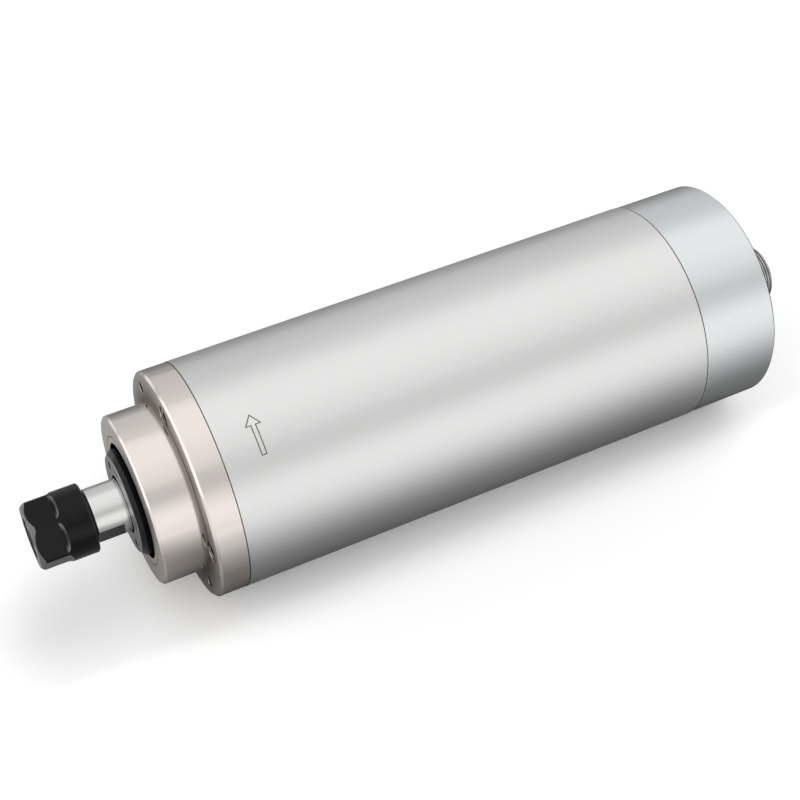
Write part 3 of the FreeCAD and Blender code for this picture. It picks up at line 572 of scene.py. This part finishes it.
def makeDustRing():
    look = ringLook
    frontX, hubX = ringLow[0], ringHigh[0]
    backX = hubX - look["hubEnd"]
    radius = (ringHigh[1] - ringLow[1]) / 2
    outline = [(frontX, look["bore"]), (frontX, radius - look["edge"]), (frontX + look["edge"], radius),
               (backX, radius), (backX, look["hub"]), (hubX, look["hub"]), (hubX, look["bore"])]
    ring = lathe("dustRing", outline, 160, rounding=look["rounding"])
    carve(ring, [drill(frontX, frontX + look["pinDepth"], look["pinRadius"],
                       polar(look["pinCircle"], look["pinAngle"] + 180 * half), 0.2 * mm) for half in range(2)])
    pinSpots = [polar(look["pinCircle"], look["pinAngle"] + 180 * half) for half in range(2)]
    dress(ring, "black_steel")
    # The sides, in the gap inside the boss, get matt black as painted shade
    dressSome(ring, "shade_matt_black", lambda middle, normal: abs(normal.x) < 0.3)
    # The front face gets a lighter black as a painted reflection
    dressSome(ring, "front_face_sheen", lambda middle, normal: normal.x < -0.98)
    # The front chamfer gets bright metal as a painted highlight
    dressSome(ring, "edge_highlight", lambda middle, normal: -0.98 <= normal.x < -0.75 and middle.y ** 2 + middle.z ** 2
              > (radius - 2 * look["edge"]) ** 2)
    # The walls and edges of the pin holes get matt black as painted shade
    dressSome(ring, "shade_matt_black", lambda middle, normal: normal.x > -0.99
              and min(math.dist((middle.y, middle.z), spot) for spot in pinSpots) < look["pinRadius"] + 0.3 * mm)
    smooth(ring)
    place(ring, "spindle", "black_steel", "dust_ring")


makeDustRing()
print("dust ring turned")

capLook = {"edge": 0.8 * mm, "chamber": 30.0 * mm, "wall": 6.0 * mm, "screwCircle": 32.5 * mm, "screwAngle": 87.0,
           "screwHole": 2.02 * mm, "counterbore": 3.7 * mm, "counterboreDepth": 4.4 * mm,
           "portCircle": 33.0 * mm, "portAngles": (334.5, 289.5), "portRadius": 3.62 * mm,
           "socketPlace": (-13.15 * mm, 15.727 * mm), "socketRadius": 9.22 * mm, "holeEdge": 0.15 * mm}


def makeCap():
    look = capLook
    frontX, rearX = capLow[0], capHigh[0]
    wallX = rearX - look["wall"]
    radius = (capHigh[1] - capLow[1]) / 2
    outline = [(frontX, look["chamber"]), (frontX, radius), (rearX - look["edge"], radius),
               (rearX, radius - look["edge"]), (rearX, 0.05 * mm), (wallX, 0.05 * mm), (wallX, look["chamber"])]
    cap = lathe("rearCap", outline, 256, rounding=0.15 * mm)
    cutters = []
    for quarter in range(4):
        spot = polar(look["screwCircle"], look["screwAngle"] + 90 * quarter)
        cutters.append(drill(rearX, frontX - mm, look["screwHole"], spot))
        cutters.append(drill(rearX, rearX - look["counterboreDepth"], look["counterbore"], spot, look["holeEdge"]))
    for angle in look["portAngles"]:
        cutters.append(drill(rearX, frontX - mm, look["portRadius"], polar(look["portCircle"], angle)))
    cutters.append(drill(rearX, wallX - mm, look["socketRadius"], look["socketPlace"], look["holeEdge"], 96))
    carve(cap, cutters)
    dress(cap, "cap_aluminium")
    smooth(cap)
    place(cap, "housing", "cap_aluminium", "rear_cap")


makeCap()
print("rear cap turned")

nutLook = {"mouth": 6.9 * mm, "flats": 21.4 * mm, "flatLength": 10.8 * mm, "runout": 2.0 * mm, "flatAngle": 28.5,
           "frontEdge": 1.6 * mm, "rearEdge": 0.5 * mm, "bore": 9.25 * mm, "chamber": 8.8 * mm, "cone": 8.54 * mm,
           "coneEnd": 3.0 * mm, "lip": 7.55 * mm, "lipStart": 4.6 * mm, "lipWidth": 1.2 * mm, "chamberEnd": 6.9 * mm,
           "coneStart": 0.16 * mm, "edge": 0.12 * mm}


def makeNut():
    look = nutLook
    frontX, rearX = nutLow[0], nutHigh[0]
    radius = 12.0 * mm
    outline = [(frontX, look["mouth"]), (frontX, radius - look["frontEdge"]), (frontX + look["frontEdge"], radius),
               (rearX - look["rearEdge"], radius), (rearX, radius - look["rearEdge"]), (rearX, look["bore"]),
               (frontX + look["chamberEnd"], look["bore"]), (frontX + look["chamberEnd"], look["chamber"]),
               (frontX + look["lipStart"] + look["lipWidth"], look["chamber"]),
               (frontX + look["lipStart"] + look["lipWidth"], look["lip"]), (frontX + look["lipStart"], look["lip"]),
               (frontX + look["lipStart"], look["cone"]), (frontX + look["coneEnd"], look["cone"]),
               (frontX + look["coneStart"], look["mouth"])]
    nut = lathe("colletNut", outline, 192)
    for sixth in range(6):
        carve(nut, [flatCutter(look["flatAngle"] + 60 * sixth)])
    softenEdges(nut, look["edge"], 24, 2)
    dress(nut, "black_steel")
    # Edges and flat hollows: partly wear, partly painted highlight, darkened inwards as painted shade
    dressSome(nut, "worn_black_sheen", wornSheenSpot)
    # The front face gets a lighter black as a painted reflection
    dressSome(nut, "front_face_sheen", lambda middle, normal: normal.x < -0.97 and middle.x < frontX + 0.3 * mm)
    smooth(nut, 30)
    place(nut, "collet_nut", "black_steel", "collet_nut")


def wornSheenSpot(middle, normal):
    # The edges of the flats are worn by spanners and also carry a painted highlight; the hollow ends of the flats carry
    # a painted highlight
    radius = math.hypot(middle.y, middle.z)
    if radius < 9.6 * mm or normal.x > 0.97:
        return False
    hollow = middle.x > nutLow[0] + nutLook["flatLength"] - nutLook["runout"] and normal.x < -0.12
    radial = (normal.y * middle.y + normal.z * middle.z) / radius
    edge = abs(normal.x) > 0.12 or radial < 0.85
    return hollow or edge


def flatCutter(angle):
    # A block above the flat whose lower rear edge is rounded, so that the flat runs out in a hollow
    look = nutLook
    startX = nutLow[0] - 2 * mm
    endX = nutLow[0] + look["flatLength"]
    floorR = look["flats"] / 2
    startPiece()
    bpy.ops.mesh.primitive_cube_add(size=1, location=((startX + endX) / 2, 0, floorR + 2 * mm),
                                    scale=(endX - startX, 26 * mm, 4 * mm))
    block = bpy.context.object
    applyPlace(block)
    holdOnly(block)
    bpy.ops.object.mode_set(mode="EDIT")
    bpy.ops.mesh.select_mode(type="EDGE")
    bpy.ops.mesh.select_all(action="DESELECT")
    bpy.ops.object.mode_set(mode="OBJECT")
    for edge in block.data.edges:
        ends = [block.data.vertices[index].co for index in edge.vertices]
        edge.select = all(abs(end.x - endX) < 1e-6 and abs(end.z - floorR) < 1e-6 for end in ends)
    bpy.ops.object.mode_set(mode="EDIT")
    bpy.ops.mesh.bevel(offset=look["runout"], segments=10, affect="EDGES")
    bpy.ops.object.mode_set(mode="OBJECT")
    block.rotation_euler = (math.radians(angle - 90), 0, 0)
    applyPlace(block)
    return block


makeNut()
print("collet nut milled")

shaftLook = {
    "noseRadius": 9.25 * mm, "threadRadius": 9.2 * mm, "threadEdge": 0.6 * mm, "taperMouth": 8.456 * mm,
    "taperEnd": 5.42 * mm, "taperLength": 21.6 * mm, "reliefRadius": 5.2 * mm, "reliefEnd": 33.6 * mm,
    "flats": 17.0 * mm, "flatAngle": 14.4, "flatStart": 13.0 * mm, "flatLength": 9.0 * mm,
    "groove": (12.3 * mm, 13.4 * mm), "grooveRadius": 8.8 * mm, "seatStart": 26.1 * mm, "seatRadius": 10.0 * mm, "shoulderStart": 59.6 * mm,
    "shoulderRadius": 13.0 * mm, "rotorStart": 92.1 * mm, "rotorRadius": 12.0 * mm, "rotorEnd": 176.1 * mm,
    "journalRadius": 9.4 * mm, "bearingStart": 209.2 * mm, "tailRadius": 7.5 * mm, "edge": 0.12 * mm,
}


def makeShaft():
    # Distances run from the nose; the flats are milled behind the collet nut
    look = shaftLook
    noseX = shaftLow[0]
    endX = shaftHigh[0]
    outline = [(0, look["taperMouth"]), (0, look["threadRadius"] - look["threadEdge"] / 2),
               (look["threadEdge"], look["threadRadius"]), (look["groove"][0], look["threadRadius"]),
               (look["groove"][0], look["grooveRadius"]), (look["groove"][1], look["grooveRadius"]),
               (look["groove"][1], look["noseRadius"]), (look["seatStart"], look["noseRadius"]),
               (look["seatStart"], look["seatRadius"]), (look["shoulderStart"], look["seatRadius"]),
               (look["shoulderStart"], look["shoulderRadius"]), (look["rotorStart"], look["shoulderRadius"]),
               (look["rotorStart"], look["rotorRadius"]), (look["rotorEnd"], look["rotorRadius"]),
               (look["rotorEnd"], look["journalRadius"]), (look["bearingStart"], look["journalRadius"]),
               (look["bearingStart"], look["tailRadius"]), (endX - noseX, look["tailRadius"]),
               (endX - noseX, 0.05 * mm), (look["reliefEnd"], 0.05 * mm), (look["reliefEnd"], look["reliefRadius"]),
               (look["taperLength"], look["reliefRadius"]), (look["taperLength"], look["taperEnd"])]
    shaft = lathe("spindleShaft", [(noseX + along, radius) for along, radius in outline], 128)
    softenEdges(shaft, look["edge"], 30, 2)
    half = look["flats"] / 2
    cutters = []
    for side in range(2):
        startPiece()
        bpy.ops.mesh.primitive_cube_add(
            size=1, location=(noseX + look["flatStart"] + look["flatLength"] / 2, half + 2 * mm, 0),
            scale=(look["flatLength"], 4 * mm, 30 * mm))
        block = bpy.context.object
        applyPlace(block)
        block.rotation_euler = (math.radians(look["flatAngle"] + 180 * side), 0, 0)
        applyPlace(block)
        cutters.append(block)
    carve(shaft, cutters)
    dress(shaft, "ground_steel")
    flatX = (noseX + look["flatStart"], noseX + look["flatStart"] + look["flatLength"])
    # The milled flats get the dark tone of a painted reflection
    dressSome(shaft, "milled_flat_dark_reflection", lambda middle, normal: flatX[0] < middle.x < flatX[1] and abs(normal.x) < 0.1
              and abs(middle.y * normal.y + middle.z * normal.z - half) < 0.02 * mm)
    smooth(shaft, 25)
    place(shaft, "spindle", "ground_steel", "spindle_shaft")


makeShaft()
print("shaft turned")

socketLook = {"place": (-13.15 * mm, 15.727 * mm), "bore": 8.4 * mm, "tailRadius": 9.2 * mm, "tail": 9.0 * mm,
              "crest": 10.04 * mm, "depth": 0.55 * mm, "pitch": 1.0 * mm, "rings": 5, "height": 8.0 * mm,
              "hexFlats": 23.0 * mm, "hexThickness": 2.5 * mm, "edge": 0.2 * mm}


def hexCollar(name, fromX, toX, flats, centre):
    startPiece()
    bpy.ops.mesh.primitive_cylinder_add(
        vertices=6, radius=flats / math.sqrt(3), depth=toX - fromX,
        location=((fromX + toX) / 2, centre[0], centre[1]), rotation=(math.pi / 2, 0, math.pi / 2))
    collar = bpy.context.object
    collar.name = name
    applyPlace(collar)
    return collar


def makeSocket():
    # The shell is turned with a row of thread rings over its mouth, and sits on a hexagon collar
    look = socketLook
    rearX = capHigh[0]
    rimX = rearX + look["height"]
    threads = []
    for ring in range(look["rings"]):
        crestX = rimX - 0.55 * mm - ring * look["pitch"]
        threads += [(crestX, look["crest"]), (crestX - 0.15 * mm, look["crest"]),
                    (crestX - look["pitch"] / 2, look["crest"] - look["depth"])]
    outline = [(rearX - look["tail"], look["bore"]), (rimX, look["bore"]), (rimX, look["crest"] - 0.5 * mm)]
    outline += threads
    outline += [(rearX, look["crest"] - look["depth"]), (rearX, look["tailRadius"]),
                (rearX - look["tail"], look["tailRadius"])]
    shell = lathe("socketShell", outline, 128, look["place"])
    softenEdges(shell, 0.05 * mm, 20, 1)
    collar = hexCollar("socketCollar", rearX, rearX + look["hexThickness"], look["hexFlats"], look["place"])
    carve(collar, [pin("cutter", rearX - mm, rimX, look["crest"] - look["depth"] - 0.05 * mm, look["place"], 96)])
    softenEdges(collar, look["edge"], 30, 2)
    shell = gather("socketShell", [shell, collar])
    dress(shell, "nickel_brass")
    # The thread valleys get a darker finish as painted shade
    dressSome(shell, "shaded_thread_valley", lambda middle, normal: rearX + look["hexThickness"] < middle.x < rimX - 0.5 * mm
              and math.dist((middle.y, middle.z), look["place"]) < look["crest"] - 0.12 * mm
              and math.dist((middle.y, middle.z), look["place"]) > look["crest"] - look["depth"] - 0.1 * mm)
    smooth(shell, 30)
    place(shell, "housing", "nickel_brass", "power_socket_shell")


makeSocket()
print("power socket turned")

nozzleLook = {"circle": 33.0 * mm, "angles": (334.5, 289.5), "bore": 2.2 * mm, "stem": 4.0 * mm, "waist": 3.3 * mm,
              "barbs": 4, "pitch": 2.3 * mm, "hexFlats": 11.0 * mm, "hexThickness": 5.0 * mm, "thread": 3.6 * mm,
              "threadLength": 5.0 * mm, "length": 10.5 * mm, "tip": 2.9 * mm, "edge": 0.25 * mm}


def makeNozzle(node, angle):
    # A hose nozzle: its stem is turned with saw-tooth barbs that the hose slides over
    look = nozzleLook
    rearX = capHigh[0]
    spot = polar(look["circle"], angle)
    tipX = rearX + look["hexThickness"] + look["length"]
    outline = [(rearX - look["threadLength"], look["bore"]), (tipX, look["bore"]), (tipX, look["tip"])]
    for barb in range(look["barbs"]):
        crestX = tipX - 1.4 * mm - barb * look["pitch"]
        outline += [(crestX, look["stem"]), (crestX - 0.25 * mm, look["stem"]), (crestX - 0.45 * mm, look["waist"])]
    outline += [(rearX, look["waist"]), (rearX, look["thread"]), (rearX - look["threadLength"], look["thread"])]
    stem = lathe("stem", outline, 64, spot)
    collar = hexCollar("collar", rearX, rearX + look["hexThickness"], look["hexFlats"], spot)
    carve(collar, [pin("cutter", rearX - mm, tipX, look["waist"] - 0.05 * mm, spot)])
    softenEdges(collar, look["edge"], 30, 2)
    nozzle = gather(node + "Nozzle", [stem, collar])
    dress(nozzle, "nickel_brass")
    smooth(nozzle, 30)
    place(nozzle, "housing", "nickel_brass", node)


for node, angle in zip(("water_inlet", "water_outlet"), nozzleLook["angles"]):
    makeNozzle(node, angle)
print("hose nozzles turned")

screwLook = {"circle": 32.5 * mm, "angle": 87.0, "headRadius": 3.5 * mm, "headHeight": 4.0 * mm, "radius": 2.0 * mm,
             "socketFlats": 3.0 * mm, "socketDepth": 2.2 * mm, "sink": 0.4 * mm, "edge": 0.3 * mm}


def makeScrews(node, headX, way):
    # Four socket head screws; way is +1 where the heads look to the nose, -1 where they look to the rear
    look = screwLook
    low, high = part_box(node)
    tipX = high[0] if way > 0 else low[0]
    underX = headX + way * look["headHeight"]
    screws = []
    for quarter in range(4):
        spot = polar(look["circle"], look["angle"] + 90 * quarter)
        outline = [(headX, 0.05 * mm), (headX, look["headRadius"] - look["edge"]),
                   (headX + way * look["edge"], look["headRadius"]), (underX, look["headRadius"]),
                   (underX, look["radius"]), (tipX, look["radius"]), (tipX, 0.05 * mm)]
        screw = lathe("screw", outline, 48, spot)
        ends = sorted((headX - way * 0.2 * mm, headX + way * look["socketDepth"]))
        carve(screw, [hexCollar("cutter", ends[0], ends[1], look["socketFlats"], spot)])
        screws.append(screw)
    screws = gather(node + "Set", screws)
    dress(screws, "black_steel")
    smooth(screws, 30)
    place(screws, "housing", "black_steel", node)


makeScrews("flange_screws", barrelLow[0] - flangeLook["plate"] + screwLook["sink"], 1)
makeScrews("rear_cap_screws", capHigh[0] - screwLook["sink"], -1)
print("screws set")

arrowLook = {
    "middleAngle": 120.25, "tip": (-73.85 * mm, 7.0 * mm), "barb": 2.5 * mm, "barbBack": 3.6 * mm,
    "stemHalf": 0.8 * mm, "tail": -7.0 * mm, "line": 0.34 * mm, "proud": 0.012 * mm,
}


def makeArrow():
    # The turning arrow on the barrel is an outline: thin strips laid on the steel one after another
    look = arrowLook
    tipX, tipV = look["tip"]
    barbV = tipV - look["barbBack"]
    corners = [(tipX, tipV), (tipX + look["barb"], barbV), (tipX + look["stemHalf"], barbV),
               (tipX + look["stemHalf"], look["tail"]), (tipX - look["stemHalf"], look["tail"]),
               (tipX - look["stemHalf"], barbV), (tipX - look["barb"], barbV)]
    strips = []
    for (fromX, fromV), (toX, toV) in zip(corners, corners[1:] + corners[:1]):
        reach = math.hypot(toX - fromX, toV - fromV) + look["line"]
        startPiece()
        bpy.ops.mesh.primitive_plane_add(size=1)
        strip = bpy.context.object
        strip.scale = (reach, look["line"], 1)
        strip.rotation_euler = (0, 0, math.atan2(toV - fromV, toX - fromX))
        strip.location = ((fromX + toX) / 2, (fromV + toV) / 2, barrelRadius + mm)
        applyPlace(strip)
        editAll(strip)
        bpy.ops.mesh.subdivide(number_cuts=14)
        bpy.ops.object.mode_set(mode="OBJECT")
        strips.append(strip)
    arrow = gather("turningArrow", strips)
    arrow.rotation_euler = (math.radians(look["middleAngle"] - 90), 0, 0)
    applyPlace(arrow)
    wrap = arrow.modifiers.new("wrap", "SHRINKWRAP")
    wrap.target = bpy.data.objects["barrelShell"]
    wrap.offset = look["proud"]
    holdOnly(arrow)
    bpy.ops.object.modifier_apply(modifier=wrap.name)
    arrow.data.materials.append(etchedMaterial())
    place(arrow, "housing", "black_steel")


def etchedMaterial():
    material = bpy.data.materials.new("etched_line")
    material.use_nodes = True
    tree = material.node_tree
    shader = tree.nodes["Principled BSDF"]
    shader.inputs["Metallic"].default_value = 0.6
    shader.inputs["Roughness"].default_value = 0.6
    patches = tree.nodes.new("ShaderNodeGroup")
    patches.node_tree = handling
    colour = tree.nodes.new("ShaderNodeMix")
    colour.data_type = "RGBA"
    colour.inputs[6].default_value = (0.08, 0.072, 0.06, 1)
    colour.inputs[7].default_value = (0.14, 0.126, 0.105, 1)
    tree.links.new(patches.outputs["Patches"], colour.inputs[0])
    tree.links.new(colour.outputs[2], shader.inputs["Base Color"])
    return material


makeArrow()
print("arrow laid on the barrel")

# The floor and the light tent round the spindle
studio = {
    "floorSize": 12.0,
    "floorSeen": 1.13,
    "floorGlow": 0.02,
    # Painted shade on the floor under the collet nut, and painted light on it ahead of the nose
    "noseShade": {"place": (-0.15, -0.009, -0.04), "reach": (0.004, 0.032), "level": 0.79},
    "noseSeen": {"along": (-0.1, -0.18), "gain": (1.02, 1.11)},
    # As the metal sees it, the floor's painted shadow gives way to a lighter floor ahead of the nose (painted light)
    "noseFloor": (-0.088, -0.125),
    "openFloor": (-0.15, -0.21),
    "noseFloorLevels": (0.46, 1.0),
    "backdrop": 1.0,
    "tentStrength": 1.0,
    "noseWall": (-0.63, -0.72),
    "noseWallLevel": 1.3,
}

# Brightness of the tent by the angle over the spindle, from its far side (0) to the near side (180):
# a broad panel overhead, a seam, and a lower panel beside the camera
tentPanels = [(0, 0.57), (7, 0.64), (20, 0.67), (38, 0.73), (49, 0.79), (55, 0.94), (64, 1.03), (90, 1.03),
              (104, 0.96), (114, 0.91), (121, 0.84), (128, 0.71), (136, 0.67), (142, 0.7), (151, 0.88),
              (159, 1.02), (168, 1.07), (180, 1.0)]

# Lightness of the floor, as the metal sees it, by the distance from the axis on either side: a painted shadow, darkest
# right under the spindle
floorBands = [(-0.32, 1.03), (-0.232, 0.9), (-0.134, 0.7), (-0.094, 0.48), (-0.072, 0.34), (-0.058, 0.25),
              (-0.048, 0.23), (-0.036, 0.2), (-0.01, 0.06), (0.03, 0.12), (0.06, 0.4), (0.134, 0.23),
              (0.21, 0.29), (0.5, 0.46)]

# Lightness of the floor, as the camera sees it, by the same distance: painted light that lifts the shadow just beside
# the barrel
seenBands = [(-0.3, 1.0), (-0.075, 1.02), (-0.06, 1.07), (-0.052, 1.14), (-0.045, 1.19), (-0.038, 1.17),
             (-0.03, 1.01), (-0.02, 1.03), (0.02, 1.03), (0.3, 1.0)]


def rampNode(tree, levels):
    ramp = tree.nodes.new("ShaderNodeValToRGB")
    stops = ramp.color_ramp.elements
    stops.remove(stops[-1])
    for index, (position, level) in enumerate(levels):
        stop = stops[0] if index == 0 else stops.new(position)
        stop.position = position
        stop.color = (level, level, level, 1)
    return ramp


def rampAcross(tree, coordinate, bands):
    nearest, furthest = bands[0][0], bands[-1][0]
    ramp = rampNode(tree, [((away - nearest) / (furthest - nearest), level / 2) for away, level in bands])
    across = mathNode(tree, "SUBTRACT", coordinate, nearest)
    tree.links.new(mathNode(tree, "DIVIDE", across, furthest - nearest), ramp.inputs[0])
    return mathNode(tree, "MULTIPLY", ramp.outputs[0], 2)


def mapped(tree, value, spanFrom, spanTo=(0, 1)):
    node = tree.nodes.new("ShaderNodeMapRange")
    node.inputs["From Min"].default_value, node.inputs["From Max"].default_value = spanFrom
    node.inputs["To Min"].default_value, node.inputs["To Max"].default_value = spanTo
    tree.links.new(value, node.inputs["Value"])
    return node.outputs[0]


def makeFloor():
    startPiece()
    bpy.ops.mesh.primitive_plane_add(size=studio["floorSize"], location=(0, 0, floorHeight))
    floor = bpy.context.object
    floor.name = "floor"
    applyPlace(floor)
    material = bpy.data.materials.new("floorPaper")
    material.use_nodes = True
    tree = material.node_tree
    tree.nodes.remove(tree.nodes["Principled BSDF"])
    seen = tree.nodes.new("ShaderNodeBsdfDiffuse")
    glow = tree.nodes.new("ShaderNodeEmission")
    glow.inputs["Strength"].default_value = studio["floorGlow"]
    both = tree.nodes.new("ShaderNodeAddShader")
    tree.links.new(seen.outputs[0], both.inputs[0])
    tree.links.new(glow.outputs[0], both.inputs[1])
    coords = tree.nodes.new("ShaderNodeTexCoord")
    split = tree.nodes.new("ShaderNodeSeparateXYZ")
    tree.links.new(coords.outputs["Object"], split.inputs[0])
    # As the camera sees it: painted shade under the nut, painted light beside the barrel and ahead of the nose
    shade = studio["noseShade"]
    away = tree.nodes.new("ShaderNodeVectorMath")
    away.operation = "DISTANCE"
    tree.links.new(coords.outputs["Object"], away.inputs[0])
    away.inputs[1].default_value = shade["place"]
    tone = mathNode(tree, "MULTIPLY", rampAcross(tree, split.outputs["Y"], seenBands),
                    mapped(tree, away.outputs["Value"], shade["reach"], (shade["level"], 1)))
    tone = mathNode(tree, "MULTIPLY", tone,
                    mapped(tree, split.outputs["X"], studio["noseSeen"]["along"], studio["noseSeen"]["gain"]))
    tree.links.new(mathNode(tree, "MULTIPLY", tone, studio["floorSeen"]), seen.inputs["Color"])
    # As the metal sees it: a painted shadow along the spindle that gives way to a lighter floor ahead of the nose
    reflected = tree.nodes.new("ShaderNodeBsdfDiffuse")
    lift = tree.nodes.new("ShaderNodeMix")
    tree.links.new(mapped(tree, split.outputs["X"], studio["noseFloor"]), lift.inputs[0])
    tree.links.new(rampAcross(tree, split.outputs["Y"], floorBands), lift.inputs[2])
    tree.links.new(mapped(tree, split.outputs["X"], studio["openFloor"], studio["noseFloorLevels"]), lift.inputs[3])
    tree.links.new(lift.outputs[0], reflected.inputs["Color"])
    path = tree.nodes.new("ShaderNodeLightPath")
    choose = tree.nodes.new("ShaderNodeMixShader")
    tree.links.new(path.outputs["Is Camera Ray"], choose.inputs[0])
    tree.links.new(reflected.outputs[0], choose.inputs[1])
    tree.links.new(both.outputs[0], choose.inputs[2])
    tree.links.new(choose.outputs[0], tree.nodes["Material Output"].inputs["Surface"])
    floor.data.materials.append(material)


def makeTent():
    world = bpy.context.scene.world or bpy.data.worlds.new("studioWorld")
    bpy.context.scene.world = world
    world.use_nodes = True
    tree = world.node_tree
    tree.nodes.clear()
    backdrop = tree.nodes.new("ShaderNodeBackground")
    backdrop.inputs["Strength"].default_value = studio["backdrop"]
    backdrop.inputs["Color"].default_value = (1, 1, 1, 1)
    coords = tree.nodes.new("ShaderNodeTexCoord")
    split = tree.nodes.new("ShaderNodeSeparateXYZ")
    tree.links.new(coords.outputs["Generated"], split.inputs[0])
    turn = mathNode(tree, "ARCTAN2", mathNode(tree, "ABSOLUTE", split.outputs["Z"]), split.outputs["Y"])
    ramp = rampNode(tree, [(angle / 180, level / 2) for angle, level in tentPanels])
    tree.links.new(mathNode(tree, "DIVIDE", turn, math.pi), ramp.inputs[0])
    wall = tree.nodes.new("ShaderNodeMapRange")
    wall.inputs["From Min"].default_value = studio["noseWall"][0]
    wall.inputs["From Max"].default_value = studio["noseWall"][1]
    tree.links.new(split.outputs["X"], wall.inputs["Value"])
    blend = tree.nodes.new("ShaderNodeMix")
    tree.links.new(wall.outputs[0], blend.inputs[0])
    tree.links.new(ramp.outputs[0], blend.inputs[2])
    blend.inputs[3].default_value = studio["noseWallLevel"] / 2
    tent = tree.nodes.new("ShaderNodeBackground")
    tree.links.new(blend.outputs[0], tent.inputs["Color"])
    tent.inputs["Strength"].default_value = studio["tentStrength"] * 2
    path = tree.nodes.new("ShaderNodeLightPath")
    choose = tree.nodes.new("ShaderNodeMixShader")
    leave = tree.nodes.new("ShaderNodeOutputWorld")
    tree.links.new(path.outputs["Is Camera Ray"], choose.inputs[0])
    tree.links.new(tent.outputs[0], choose.inputs[1])
    tree.links.new(backdrop.outputs[0], choose.inputs[2])
    tree.links.new(choose.outputs[0], leave.inputs["Surface"])


makeFloor()
makeTent()
bpy.context.scene.view_settings.view_transform = "Standard"
print("studio lit")
